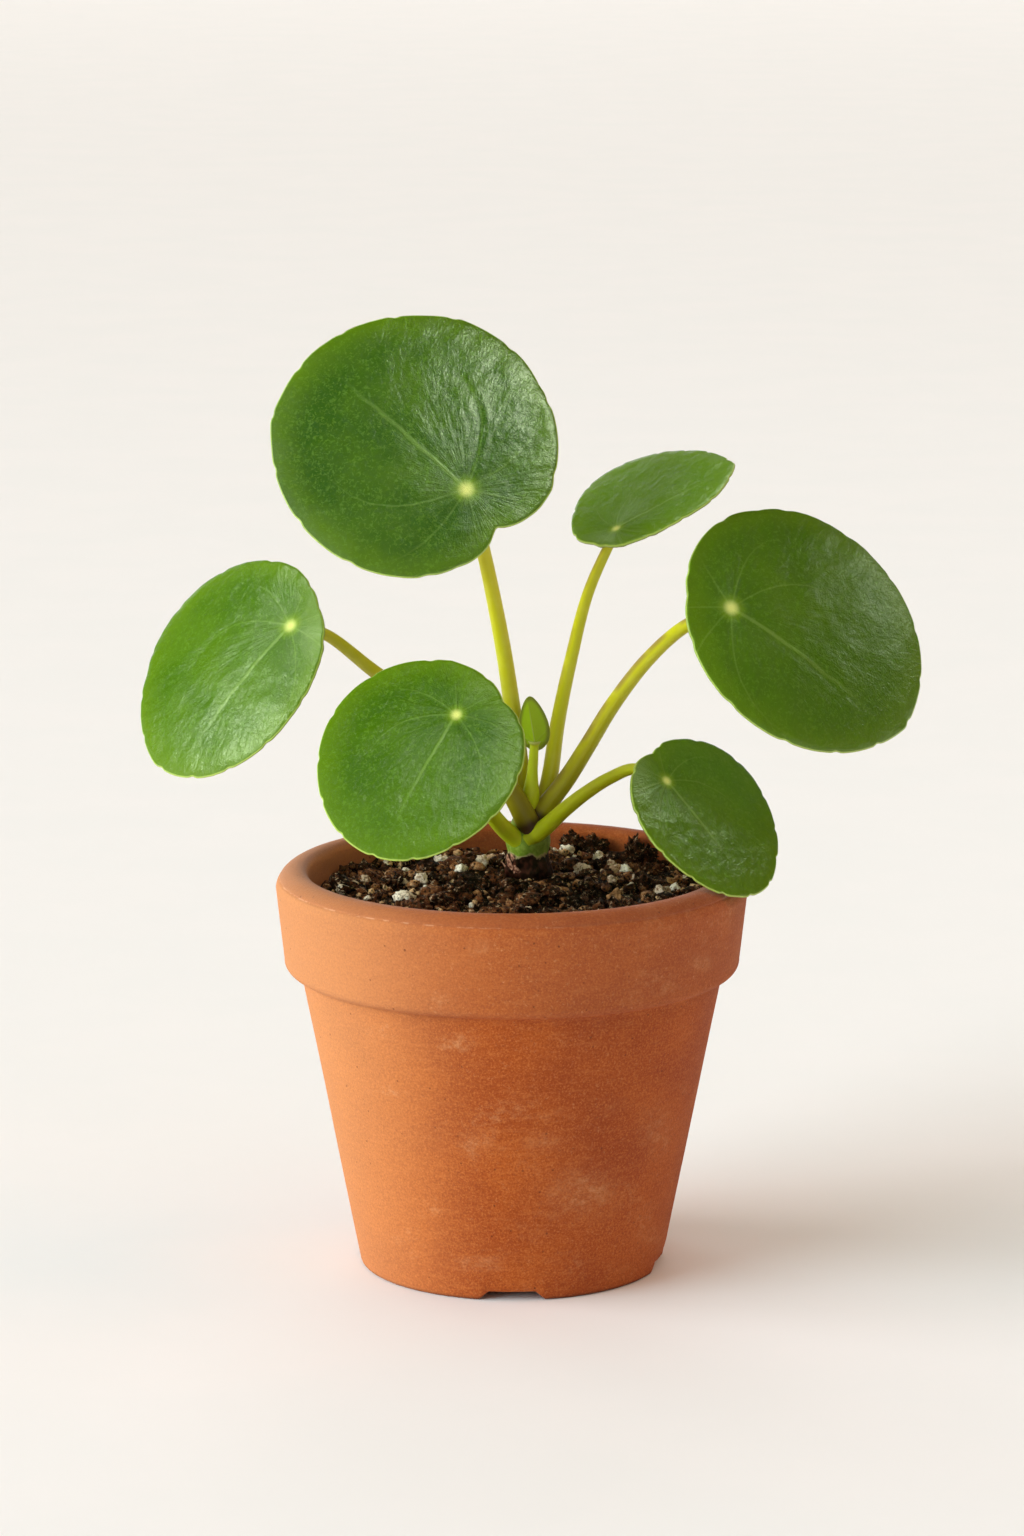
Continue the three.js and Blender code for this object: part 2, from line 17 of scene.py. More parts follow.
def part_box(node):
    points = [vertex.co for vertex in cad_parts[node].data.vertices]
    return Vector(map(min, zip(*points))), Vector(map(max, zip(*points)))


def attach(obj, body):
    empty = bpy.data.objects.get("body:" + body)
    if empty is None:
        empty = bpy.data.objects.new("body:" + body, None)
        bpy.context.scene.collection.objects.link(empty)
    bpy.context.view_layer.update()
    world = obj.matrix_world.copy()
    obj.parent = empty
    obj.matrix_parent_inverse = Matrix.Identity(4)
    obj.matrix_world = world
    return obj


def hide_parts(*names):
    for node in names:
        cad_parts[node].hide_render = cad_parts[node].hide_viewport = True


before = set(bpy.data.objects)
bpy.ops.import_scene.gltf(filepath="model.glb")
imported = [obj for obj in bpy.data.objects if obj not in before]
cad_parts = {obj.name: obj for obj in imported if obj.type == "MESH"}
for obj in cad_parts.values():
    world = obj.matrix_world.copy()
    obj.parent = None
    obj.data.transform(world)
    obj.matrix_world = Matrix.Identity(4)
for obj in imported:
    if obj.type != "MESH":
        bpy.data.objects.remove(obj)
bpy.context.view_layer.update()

MM = 0.001

# %% [markdown]
# Clay turners, gardeners and botanists all think in millimetres from the middle of the pot,
# and the script does too. Each piece is modelled in millimetres round the pot's axis, and one
# matrix takes it into the frame's metres at the end. The axis is read from the pot's solid.

# %% Find the pot's axis
pot_low, pot_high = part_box("pot")
AXIS = Vector(((pot_low.x + pot_high.x) / 2, (pot_low.y + pot_high.y) / 2, 0))
TO_FRAME = Matrix.Translation(AXIS) @ Matrix.Scale(MM, 4)
RIM_RADIUS = (pot_high.x - pot_low.x) / 2 / MM
POT_HEIGHT = pot_high.z / MM
print("pot", round(RIM_RADIUS * 2, 1), "mm wide and", round(POT_HEIGHT, 1), "mm tall")

# %% [markdown]
# ## The camera
# The photograph is a calm portrait from a little above the rim. The mouth of the pot shows as
# a shallow ellipse, so the view drops by about eleven degrees, and the sides hardly converge,
# so the lens is long and stands more than a metre away. With these three values the rim, the
# foot and the highest leaf fall where the photograph has them, with no shift.

# %% Place the camera
CAMERA_PLACE = Vector((0, -1200, 359))
CAMERA_DROP = 11.373
LENS = 123.8
PICTURE_SIZE = (1024, 1536)

scene = bpy.context.scene
camera_data = bpy.data.cameras.new("portrait")
camera_data.lens = LENS
camera = bpy.data.objects.new("portrait", camera_data)
camera.location = TO_FRAME @ CAMERA_PLACE
camera.rotation_euler = (math.radians(90 - CAMERA_DROP), 0, 0)
scene.collection.objects.link(camera)
scene.camera = camera
scene.view_settings.view_transform = "Standard"
focal_pixels = LENS / camera_data.sensor_width * PICTURE_SIZE[1]
print("focal length is", round(focal_pixels), "pixels")

# %% [markdown]
# A few things, such as the pale grains on the soil, are easiest to place by where they are
# seen. This helper follows the ray through one pixel of the 1024 x 1536 picture down to a
# level height, so that whatever it places lies on the soil and not in the air.

# %% Follow a pixel down to a height
def pixel_at_height(across, down, height):
    aim = Vector(((across - PICTURE_SIZE[0] / 2), (PICTURE_SIZE[1] / 2 - down), -focal_pixels))
    aim.rotate(camera.rotation_euler)
    return CAMERA_PLACE + aim * (height - CAMERA_PLACE.z) / aim.z


def pixel_of(place):
    """The way back: where in the picture a place is seen."""
    seen = camera.rotation_euler.to_matrix().transposed() @ (place - CAMERA_PLACE)
    return (PICTURE_SIZE[0] / 2 - focal_pixels * seen.x / seen.z,
            PICTURE_SIZE[1] / 2 + focal_pixels * seen.y / seen.z)

# %% [markdown]
# ## Helpers for meshes
# Every piece ends in the same way: its mesh is scaled into the frame, gets its material and
# smooth shading, rides on the one body of this object, and hides the solids it stands for.

# %% Finish a piece
def finish_piece(name, bm, material, slot, *nodes):
    bmesh.ops.transform(bm, matrix=TO_FRAME, verts=bm.verts)
    mesh = bpy.data.meshes.new(name)
    bm.to_mesh(mesh)
    bm.free()
    mesh.shade_smooth()
    mesh.materials.append(material)
    piece = bpy.data.objects.new(name, mesh)
    scene.collection.objects.link(piece)
    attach(piece, "root")
    if nodes:
        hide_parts(*nodes)
    print(name, "has", sum(len(face.vertices) - 2 for face in mesh.polygons), "triangles")
    return piece

# %% [markdown]
# A pot, a bed of soil, a crown and even a leaf are all made by turning an outline round an
# axis, as on a potter's wheel. `bmesh.ops.spin` does that. The seam is merged by `use_merge`,
# and points that lie on the axis are merged afterwards, which closes the two poles.

# %% Turn an outline round the Z axis
def turn_outline(outline, steps, is_ring=False):
    bm = bmesh.new()
    points = [bm.verts.new((radius, 0, height)) for radius, height in outline]
    pairs = list(zip(points, points[1:]))
    if is_ring:
        pairs.append((points[-1], points[0]))
    edges = [bm.edges.new(pair) for pair in pairs]
    bmesh.ops.spin(bm, geom=points + edges, cent=(0, 0, 0), axis=(0, 0, 1),
                   angle=math.tau, steps=steps, use_merge=True)
    poles = [vert for vert in bm.verts if vert.co.xy.length < 1e-5]
    bmesh.ops.remove_doubles(bm, verts=poles, dist=1e-4)
    bmesh.ops.recalc_face_normals(bm, faces=bm.faces)
    return bm

# %% [markdown]
# Outlines are written with three short words: a straight stretch, a round arc, and a bend
# that leaves one line and joins another. Each leaves out its first point, which is where the
# stretch before it ended.

# %% Stretches of an outline
def straight(start, end, steps):
    return [tuple(a + (b - a) * step / steps for a, b in zip(start, end))
            for step in range(1, steps + 1)]


def arc(centre, size, start, end, steps):
    angles = [math.radians(start + (end - start) * step / steps) for step in range(1, steps + 1)]
    return [(centre[0] + size * math.cos(a), centre[1] + size * math.sin(a)) for a in angles]


def bend(start, corner, end, steps):
    points = []
    for step in range(1, steps + 1):
        t = step / steps
        points.append(tuple((1 - t) ** 2 * a + 2 * t * (1 - t) * b + t ** 2 * c
                            for a, b, c in zip(start, corner, end)))
    return points

# %% [markdown]
# ## Helpers for materials
# A material is a small graph of nodes. These helpers keep each graph readable: a value that
# is a socket is linked, and any other value is set on the input itself.

# %% Wire nodes
def connect(tree, socket, value):
    if isinstance(value, bpy.types.NodeSocket):
        tree.links.new(value, socket)
    elif socket.type == "RGBA":
        socket.default_value = (*value, 1)
    else:
        socket.default_value = value


def add_node(tree, kind, settings=None, **inputs):
    made = tree.nodes.new("ShaderNode" + kind)
    for key, value in (settings or {}).items():
        setattr(made, key, value)
    for key, value in inputs.items():
        connect(tree, made.inputs[key.replace("_", " ")], value)
    return made


def calculate(tree, operation, *values):
    made = tree.nodes.new("ShaderNodeMath")
    made.operation = operation
    for socket, value in zip(made.inputs, values):
        connect(tree, socket, value)
    return made.outputs[0]

# %% [markdown]
# Most masks are fades. `fade` is 0 up to its start and 1 from its end on, and it falls instead
# of rising when the start is the larger of the two. `blend` lays one colour over another.

# %% Fade and blend
def fade(tree, value, start, end):
    made = add_node(tree, "MapRange", {"interpolation_type": "SMOOTHSTEP"},
                    Value=value, From_Min=start, From_Max=end)
    return made.outputs[0]


def blend(tree, amount, below, above, mode="MIX"):
    made = tree.nodes.new("ShaderNodeMix")
    made.data_type = "RGBA"
    made.blend_type = mode
    connect(tree, made.inputs[0], amount)
    connect(tree, made.inputs[6], below)
    connect(tree, made.inputs[7], above)
    return made.outputs[2]


def times(tree, first, *others):
    for other in others:
        first = calculate(tree, "MULTIPLY", first, other)
    return first

# %% [markdown]
# Colours are written as they look on a screen, from 0 to 255, and turned into the linear
# light that the shader works in. Patterns are measured in millimetres, so a grain of clay has
# the same size on every piece: the object's own coordinates are moved to the pot's axis and
# scaled, and a noise takes the size of its features.

# %% Colours and patterns at their real size
def screen(red, green, blue):
    shares = [value / 255 for value in (red, green, blue)]
    return tuple(share / 12.92 if share <= 0.04045 else ((share + 0.055) / 1.055) ** 2.4
                 for share in shares)


def new_material(name):
    material = bpy.data.materials.new(name)
    material.use_nodes = True
    tree = material.node_tree
    return material, tree, tree.nodes["Principled BSDF"]


def millimetres(tree):
    place = tree.nodes.new("ShaderNodeTexCoord").outputs["Object"]
    centred = add_node(tree, "Mapping", Vector=place, Location=-AXIS / MM, Scale=(1 / MM,) * 3)
    return centred.outputs[0]


def pattern(tree, place, size, detail=4.0, roughness=0.5, distortion=0.0, squash=1.0):
    """A noise with features of `size` millimetres; squash makes them lower than wide."""
    scaled = add_node(tree, "Mapping", Vector=place,
                      Scale=(1 / size, 1 / size, squash / size)).outputs[0]
    made = add_node(tree, "TexNoise", Vector=scaled, Scale=1.0, Detail=detail,
                    Roughness=roughness, Distortion=distortion)
    return made.outputs["Fac"]


def raise_surface(tree, shader, height, depth, below=None):
    """Turns a height from 0 to 1 into relief that is `depth` millimetres deep."""
    made = add_node(tree, "Bump", Height=height, Distance=depth * MM)
    if below is not None:
        tree.links.new(below, made.inputs["Normal"])
    tree.links.new(made.outputs[0], shader.inputs["Normal"])
    return made.outputs[0]

# %% [markdown]
# ## The pot
# The real pot is pressed or thrown clay: a straight tapered body, a tall collar that stands
# out over a small ledge, and a rounded lip. Cutting a cylinder would do for the body, but a
# single turned outline gives every edge its own rounding, so the wheel is the right tool.
# The outline is a closed ring: it runs up the outside, over the lip, down the inside, across
# the floor and out through the drain hole.

# %% Sizes of the pot
FOOT_RADIUS = 35.5
FOOT_RING_INNER_RADIUS = 29
FOOT_RECESS = 2.5
FOOT_ROUND = 0.7
LEDGE_HEIGHT = 70.4
LEDGE_INNER_RADIUS = 49.2
LEDGE_FILLET = 1.6
COLLAR_FOOT_RADIUS = 52.95
COLLAR_CORNER = 2.4
LIP_OUTER_ROUND = 5
LIP_INNER_ROUND = 2.4
MOUTH_RADIUS = 47.3
FLOOR_RADIUS = 31.5
FLOOR_HEIGHT = 8
DRAIN_RADIUS = 6

# %% Outside of the pot, from the foot to the lip
def pot_outside():
    slope = (LEDGE_INNER_RADIUS - FOOT_RADIUS) / LEDGE_HEIGHT
    body_start = (FOOT_RADIUS + slope * FOOT_ROUND, FOOT_ROUND)
    body_end = (LEDGE_INNER_RADIUS - slope * LEDGE_FILLET, LEDGE_HEIGHT - LEDGE_FILLET)
    collar_centre = (COLLAR_FOOT_RADIUS - COLLAR_CORNER, LEDGE_HEIGHT + COLLAR_CORNER)
    lip_centre = (RIM_RADIUS - LIP_OUTER_ROUND, POT_HEIGHT - LIP_OUTER_ROUND)
    collar_start = arc(collar_centre, COLLAR_CORNER, -90, 5, 12)
    lip = arc(lip_centre, LIP_OUTER_ROUND, 5, 90, 60)
    outline = [(FOOT_RING_INNER_RADIUS, 0), (FOOT_RADIUS - FOOT_ROUND, 0)]
    outline += bend(outline[-1], (FOOT_RADIUS, 0), body_start, 4)
    outline += straight(body_start, body_end, 44)
    outline += bend(body_end, (LEDGE_INNER_RADIUS, LEDGE_HEIGHT), collar_start[0], 5)
    outline += collar_start[1:]
    outline += straight(collar_start[-1], lip[0], 20)
    return outline + lip[1:]

# %% Inside of the pot, from the lip to the foot
def inner_radius(height):
    """Radius of the inner wall, which tapers from the mouth to the floor."""
    rise = (height - FLOOR_HEIGHT) / (POT_HEIGHT - LIP_INNER_ROUND - FLOOR_HEIGHT)
    return FLOOR_RADIUS + (MOUTH_RADIUS - FLOOR_RADIUS) * rise


def pot_inside():
    lip_centre = (MOUTH_RADIUS + LIP_INNER_ROUND, POT_HEIGHT - LIP_INNER_ROUND)
    wall_foot = (inner_radius(FLOOR_HEIGHT + 2), FLOOR_HEIGHT + 2)
    outline = arc(lip_centre, LIP_INNER_ROUND, 90, 180, 10)
    outline += straight(outline[-1], wall_foot, 30)
    outline += bend(wall_foot, (FLOOR_RADIUS, FLOOR_HEIGHT), (FLOOR_RADIUS - 2, FLOOR_HEIGHT), 4)
    outline += straight(outline[-1], (DRAIN_RADIUS, FLOOR_HEIGHT), 10)
    outline += straight(outline[-1], (DRAIN_RADIUS, FOOT_RECESS), 3)
    outline += straight(outline[-1], (FOOT_RING_INNER_RADIUS - FOOT_RECESS, FOOT_RECESS), 8)
    return outline

# %% [markdown]
# Before firing, a fine line was scribed round the lip, water notches were pressed into the
# foot, and hands left the round a touch untrue. All three are small moves of the turned
# vertices. A notch squeezes the clay of the foot upwards, which rounds its edges as a press
# does, and needs no cut.
# Salts have since dried on the wall in pale smears, and patches of painted shade darken the
# right of the body and collar and a strip under the collar on the left. Each vertex keeps how much
# of either it carries, by how near it is to the middle of a smear or patch.

# %% Scribe, press and handle the clay
POT_STEPS = 288
LINE_HEIGHT = 92.0
LINE_DEPTH = 0.22
LINE_WIDTH = 0.22
NOTCH_ANGLES = (0, 79, 180, 259)
NOTCH_HEIGHT = 2
NOTCH_HALF_TOP = 5.5
NOTCH_HALF_BOTTOM = 7.5
NOTCH_REACH = 5
UNTRUE = 0.16
UNTRUE_SIZE = 28
SMEARS = (
    # across and down in the picture, half width and half height there, strength
    (378, 1032, 30, 15, 0.8), (452, 1043, 22, 9, 0.9), (383, 1092, 26, 10, 0.9),
    (473, 1142, 16, 15, 0.9), (430, 1206, 14, 14, 0.7), (583, 1193, 32, 20, 0.9),
    (404, 1240, 24, 16, 0.7), (476, 1264, 26, 9, 0.6), (652, 1237, 16, 12, 0.4),
    (338, 930, 16, 9, 0.7), (478, 948, 12, 8, 0.6), (441, 998, 16, 10, 0.6),
    (700, 962, 10, 7, 0.9), (545, 1142, 16, 8, 0.7), (655, 1130, 14, 22, 0.6),
)
# Patches of painted shade, in the same columns as the smears.
PAINTED_SHADE_PATCHES = ((600, 1090, 52, 130, 1), (590, 935, 110, 26, 0.8), (350, 1004, 40, 8, 0.5))


def near_marks(marks, place):
    """How strongly the marks reach a place on the side towards the camera, from 0 to 1."""
    if place.y > 0:
        return 0
    across, down = pixel_of(place)
    return min(1, sum(strength * math.exp(-((across - x) / wide) ** 2 - ((down - y) / tall) ** 2)
                      for x, y, wide, tall, strength in marks))


def notch_lift(place):
    """How far the foot is pressed up at a place, in millimetres."""
    lift = 0
    for degrees in NOTCH_ANGLES:
        outward = Vector((math.sin(math.radians(degrees)), -math.cos(math.radians(degrees))))
        across = abs(outward.cross(place.xy))
        if outward.dot(place.xy) > 0:
            inside = (NOTCH_HALF_BOTTOM - across) / (NOTCH_HALF_BOTTOM - NOTCH_HALF_TOP)
            lift = max(lift, NOTCH_HEIGHT * min(1, max(0, inside)))
    return lift


def handle_clay(bm):
    smear = bm.verts.layers.float.new("smear")
    stain_and_painted_shade = bm.verts.layers.float.new("stain_and_painted_shade")
    for vert in bm.verts:
        place = vert.co.copy()
        radius = place.xy.length
        vert[smear] = near_marks(SMEARS, place)
        # How much painted shade darkens the clay here.
        vert[stain_and_painted_shade] = near_marks(PAINTED_SHADE_PATCHES, place)
        groove = LINE_DEPTH * math.exp(-((place.z - LINE_HEIGHT) / LINE_WIDTH) ** 2)
        change = UNTRUE * noise.noise(place / UNTRUE_SIZE)
        if radius > RIM_RADIUS - LIP_OUTER_ROUND:
            change -= groove
        vert.co.xy *= (radius + change) / radius
        if place.z < NOTCH_REACH and radius > FOOT_RING_INNER_RADIUS - 2 * FOOT_RECESS:
            vert.co.z += notch_lift(place) * (1 - place.z / NOTCH_REACH)

# %% [markdown]
# Terracotta is never one colour. The fired clay is a deep orange brown that drifts from spot
# to spot. Over it lies a pale bloom of salts that water carried through the wall: cloudy
# patches, drawn out sideways, with a fine gritty edge. On the left, towards the window, the bloom
# is heavier and the clay more golden, which is partly bloom and partly painted light. Patches of
# painted shade darken its right side and a strip under the collar, and a painted shadow darkens
# the foot where it stands on the floor. The collar is a little greyer and full of pale specks, the
# handled lip is darker and smoother, and the scribed line holds pale dust. The inner wall is
# darker below the lip. Pits and grains are far too small to model, so they are relief in the
# material, and the pits are also painted darker as painted shade.

# %% Colour of the clay
def clay_colour(tree, place):
    split = add_node(tree, "SeparateXYZ", Vector=place)
    across, height = split.outputs["X"], split.outputs["Z"]
    flat = add_node(tree, "CombineXYZ", X=across, Y=split.outputs["Y"])
    radius = add_node(tree, "VectorMath", {"operation": "LENGTH"},
                      Vector=flat.outputs[0]).outputs["Value"]
    drift = fade(tree, pattern(tree, place, 21, detail=3), 0.35, 0.68)
    colour = blend(tree, drift, screen(160, 68, 16), screen(176, 82, 22))
    # Painted shade: the patches darken the clay to a deeper brown.
    stain_and_painted_shade = add_node(tree, "Attribute", {"attribute_name": "stain_and_painted_shade"}).outputs["Fac"]
    colour = blend(tree, times(tree, stain_and_painted_shade, 0.18), colour, screen(132, 48, 14))
    # Painted light: the side towards the window, on the left, turns paler and more golden.
    colour = blend(tree, times(tree, fade(tree, across, 0, -RIM_RADIUS), 0.4), colour,
                   screen(178, 124, 62))
    grain = pattern(tree, place, 0.5, detail=5, roughness=0.75)
    colour = blend(tree, times(tree, fade(tree, grain, 0.5, 0.36), 0.55), colour,
                   screen(128, 50, 16))
    colour = blend(tree, times(tree, fade(tree, grain, 0.48, 0.66), 0.5), colour,
                   screen(212, 124, 60))
    turned = pattern(tree, place, 7, detail=5, roughness=0.65, squash=6)
    colour = blend(tree, times(tree, fade(tree, turned, 0.5, 0.7), 0.3), colour,
                   screen(196, 110, 52))
    # Painted shadow: the clay darkens over its last millimetre above the floor, where the pot stands.
    colour = blend(tree, times(tree, fade(tree, height, 1.1, 0.2), 0.6), colour,
                   screen(92, 42, 20))
    collar = fade(tree, height, LEDGE_HEIGHT, LEDGE_HEIGHT + 1)
    colour = blend(tree, times(tree, collar, 0.25), colour, screen(172, 104, 66))
    bloom = clay_bloom(tree, place, across, collar)
    colour = blend(tree, bloom, colour, screen(220, 156, 104))
    lip = times(tree, fade(tree, height, LINE_HEIGHT - 0.4, LINE_HEIGHT + 0.3),
                fade(tree, radius, MOUTH_RADIUS, MOUTH_RADIUS + 1))
    colour = blend(tree, times(tree, lip, 0.3), colour, screen(142, 74, 42))
    line = fade(tree, calculate(tree, "ABSOLUTE", calculate(tree, "SUBTRACT", height, LINE_HEIGHT)),
                0.24, 0.06)
    broken = times(tree, fade(tree, pattern(tree, place, 2.4, detail=3), 0.46, 0.62),
                   fade(tree, across, RIM_RADIUS * 0.6, -RIM_RADIUS * 0.6))
    outer = fade(tree, radius, RIM_RADIUS - 3, RIM_RADIUS - 2)
    colour = blend(tree, times(tree, line, broken, outer, 0.45), colour, screen(224, 166, 124))
    # The inner wall turns darker below the lip.
    taper = (MOUTH_RADIUS - FLOOR_RADIUS) / (POT_HEIGHT - LIP_INNER_ROUND - FLOOR_HEIGHT)
    wall = calculate(tree, "MULTIPLY_ADD", height, taper, inner_radius(0))
    inner_wall_darkening = times(tree, fade(tree, calculate(tree, "SUBTRACT", radius, wall), 1.6, 0.4),
                 fade(tree, height, LINE_HEIGHT + 1.5, LINE_HEIGHT - 2))
    return blend(tree, times(tree, inner_wall_darkening, 0.45), colour, screen(122, 66, 38)), lip


def clay_bloom(tree, place, across, collar):
    cloud = fade(tree, pattern(tree, place, 17, detail=4, roughness=0.6, squash=1.5), 0.52, 0.72)
    gritty = fade(tree, pattern(tree, place, 2.6, detail=8, roughness=0.8, squash=1.4), 0.42, 0.7)
    specks = fade(tree, pattern(tree, place, 1.1, detail=5, roughness=0.8), 0.56, 0.74)
    # The veil is heavier on the left, towards the window: partly bloom, partly painted light.
    bloom_and_window_light = times(tree, fade(tree, across, 0, -RIM_RADIUS), 0.42)
    patches = times(tree, cloud, gritty, 0.4)
    smear = add_node(tree, "Attribute", {"attribute_name": "smear"}).outputs["Fac"]
    smeared = times(tree, smear, calculate(tree, "MULTIPLY_ADD", gritty, 0.66, 0.12))
    dusted = times(tree, specks, calculate(tree, "ADD", 0.4, times(tree, collar, 0.25)))
    veil = calculate(tree, "MAXIMUM", calculate(tree, "MAXIMUM", patches, dusted), smeared)
    return calculate(tree, "MAXIMUM", veil, bloom_and_window_light)

# %% The fired clay
clay, tree, shader = new_material("fired clay")
place = millimetres(tree)
clay_tint, on_lip = clay_colour(tree, place)
pits = add_node(tree, "TexVoronoi", Vector=place, Scale=0.3, Randomness=1.0).outputs["Distance"]
ragged = times(tree, pattern(tree, place, 1.2, detail=3), 0.14)
pit = fade(tree, calculate(tree, "SUBTRACT", pits, ragged), -0.03, 0.02)
# Painted shade: the pits are painted darker as well as sunk.
tree.links.new(blend(tree, times(tree, calculate(tree, "SUBTRACT", 1, pit), 0.55),
                     clay_tint, screen(96, 46, 24)), shader.inputs["Base Color"])
polish = add_node(tree, "MapRange", Value=on_lip, To_Min=0.82, To_Max=0.52).outputs[0]
tree.links.new(polish, shader.inputs["Roughness"])
shader.inputs["Specular IOR Level"].default_value = 0.4
fine = raise_surface(tree, shader, pattern(tree, place, 0.8, detail=6, roughness=0.75), 0.16)
turned = raise_surface(tree, shader, pattern(tree, place, 9, detail=6, squash=7), 0.16, fine)
raise_surface(tree, shader, pit, 0.12, turned)

# %% Make the pot
pot_mesh = turn_outline(pot_outside() + pot_inside(), POT_STEPS, is_ring=True)
handle_clay(pot_mesh)
finish_piece("clay_pot", pot_mesh, clay, "terracotta", "pot")

# %% [markdown]
# ## The soil
# Potting soil is a bed of fine dark peat under a litter of crumbs, bark and pale grains of
# pumice. The bed alone is a turned outline whose top is pushed up and down by the same slow
# waves as its solid, and by two finer noises. It fills the pot down to the floor.

# %% Height of the soil
STEM_X = 3.8
STEM_Y = 13
SOIL_TOP = 88
MOUND_HEIGHT = 1.6
MOUND_WIDTH = 16
WAVE_HEIGHT = 0.7
SHORT_WAVE = (20, 23)
LONG_WAVE = (48, 33)
WAVE_SHIFT = (4, -2)
SOIL_GAP = 0.3


def soil_height(x, y):
    near_stem = math.hypot(x - STEM_X, y - STEM_Y)
    mound = MOUND_HEIGHT * math.exp(-((near_stem / MOUND_WIDTH) ** 2))
    short_wave = (math.sin(math.tau * (x + WAVE_SHIFT[0]) / SHORT_WAVE[0])
                  * math.cos(math.tau * (y + WAVE_SHIFT[1]) / SHORT_WAVE[1]))
    long_wave = math.sin(math.tau * (x / LONG_WAVE[0] - y / LONG_WAVE[1]))
    return SOIL_TOP + mound + WAVE_HEIGHT * (short_wave + long_wave)

# %% Bed of peat
BED_STEPS = 220
BED_RINGS = 88
LUMP_SIZE = 3.6
LUMP_HEIGHT = 1.3
GRIT_SIZE = 1.1
GRIT_HEIGHT = 0.5


def soil_bed():
    edge = inner_radius(SOIL_TOP) - SOIL_GAP
    floor = FLOOR_HEIGHT + SOIL_GAP
    outline = [(0, floor)] + straight((0, floor), (inner_radius(floor) - SOIL_GAP, floor), 6)
    outline += straight(outline[-1], (edge, SOIL_TOP - 3), 12)
    outline += straight(outline[-1], (edge, SOIL_TOP), 3)
    outline += straight(outline[-1], (0, SOIL_TOP), BED_RINGS)
    bm = turn_outline(outline, BED_STEPS)
    for vert in bm.verts:
        if vert.co.z > SOIL_TOP - 0.01:
            x, y, _ = vert.co
            lump = LUMP_HEIGHT * noise.noise(Vector((x, y, 7)) / LUMP_SIZE)
            grit = GRIT_HEIGHT * noise.noise(Vector((x, y, 3)) / GRIT_SIZE)
            vert.co.z = soil_height(x, y) + lump + grit
    return bm

# %% [markdown]
# The crumbs are loose lumps strewn over the bed. Each starts as a ball with few faces, and is
# stretched, turned and knocked out of round by a random number for every corner. The draws
# are seeded, so the soil is the same each time. A crumb remembers its own shade in a vertex
# attribute, which the material reads to tell black peat from brown bark.

# %% Strew crumbs
def rough_lump(bm, centre, size, stretch, dice, subdivisions, jitter):
    spin = Matrix.Rotation(dice.uniform(0, math.tau), 4, "Z")
    tilt = Matrix.Rotation(dice.uniform(-0.7, 0.7), 4, "X")
    form = Matrix.Diagonal((*stretch, 1))
    matrix = Matrix.Translation(centre) @ spin @ tilt @ form
    made = bmesh.ops.create_icosphere(bm, subdivisions=subdivisions, radius=size, matrix=matrix)
    for vert in made["verts"]:
        knock = dice.uniform(-jitter, jitter) + 0.6 * noise.noise(vert.co * 1.3)
        vert.co += (vert.co - centre) * knock
    return made["verts"]


def strew(bm, dice, count, sizes, shades, sink, subdivisions=1):
    shade_layer = bm.verts.layers.float["shade"]
    reach = inner_radius(SOIL_TOP)
    placed = 0
    while placed < count:
        size = sizes[0] + (sizes[1] - sizes[0]) * dice.random() ** 2
        angle, distance = dice.uniform(0, math.tau), (reach - size - 0.5) * math.sqrt(dice.random())
        x, y = distance * math.cos(angle), distance * math.sin(angle)
        if math.hypot(x - STEM_X, y - STEM_Y) < STEM_CLEAR + size:
            continue
        stretch = (dice.uniform(0.8, 1.5), dice.uniform(0.7, 1.1), dice.uniform(0.55, 1))
        centre = Vector((x, y, soil_height(x, y) + size * (1 - sink)))
        shade = dice.uniform(*shades)
        for vert in rough_lump(bm, centre, size, stretch, dice, subdivisions, 0.24):
            vert[shade_layer] = shade
        placed += 1

# %% Make the soil
STEM_CLEAR = 4.6
dice = random.Random(4127)
soil_mesh = soil_bed()
crumb_mesh = bmesh.new()
crumb_mesh.verts.layers.float.new("shade")
strew(crumb_mesh, dice, 620, (0.7, 1.6), (0.0, 0.75), 0.4)
strew(crumb_mesh, dice, 110, (1.4, 2.6), (0.0, 0.5), 0.5, subdivisions=2)
grit_mesh = bmesh.new()
grit_mesh.verts.layers.float.new("shade")
strew(grit_mesh, dice, 1500, (0.3, 0.8), (0.0, 0.75), 0.4)
strew(grit_mesh, dice, 260, (0.4, 1.2), (0.9, 1.3), 0.2)

# %% [markdown]
# The material mixes from black peat through brown bark to the odd orange fibre, by the shade
# of the crumb and a fine noise. What makes it read as soil is the grain: rusty fibres, pale
# specks of dust and sand on the crumbs, and pores between them, sunk and painted near black as
# painted shade.

# %% Peat and bark
peat, tree, shader = new_material("peat and bark")
place = millimetres(tree)
shade = add_node(tree, "Attribute", {"attribute_name": "shade"}).outputs["Fac"]
mottle = pattern(tree, place, 1.5, detail=7, roughness=0.8)
tone = calculate(tree, "ADD", shade, times(tree, calculate(tree, "SUBTRACT", mottle, 0.5), 2.4))
colour = blend(tree, fade(tree, tone, 0.0, 0.4), screen(26, 7, 2), screen(112, 62, 30))
colour = blend(tree, fade(tree, tone, 0.4, 0.75), colour, screen(190, 128, 76))
colour = blend(tree, fade(tree, tone, 0.8, 1.0), colour, screen(250, 200, 138))
rust = fade(tree, pattern(tree, place, 2.2, detail=6, roughness=0.75), 0.56, 0.7)
colour = blend(tree, times(tree, rust, 0.5), colour, screen(170, 98, 40))
dusty = fade(tree, pattern(tree, place, 1.2, detail=4, roughness=0.8), 0.58, 0.63)
colour = blend(tree, times(tree, dusty, 0.75), colour, screen(244, 206, 158))
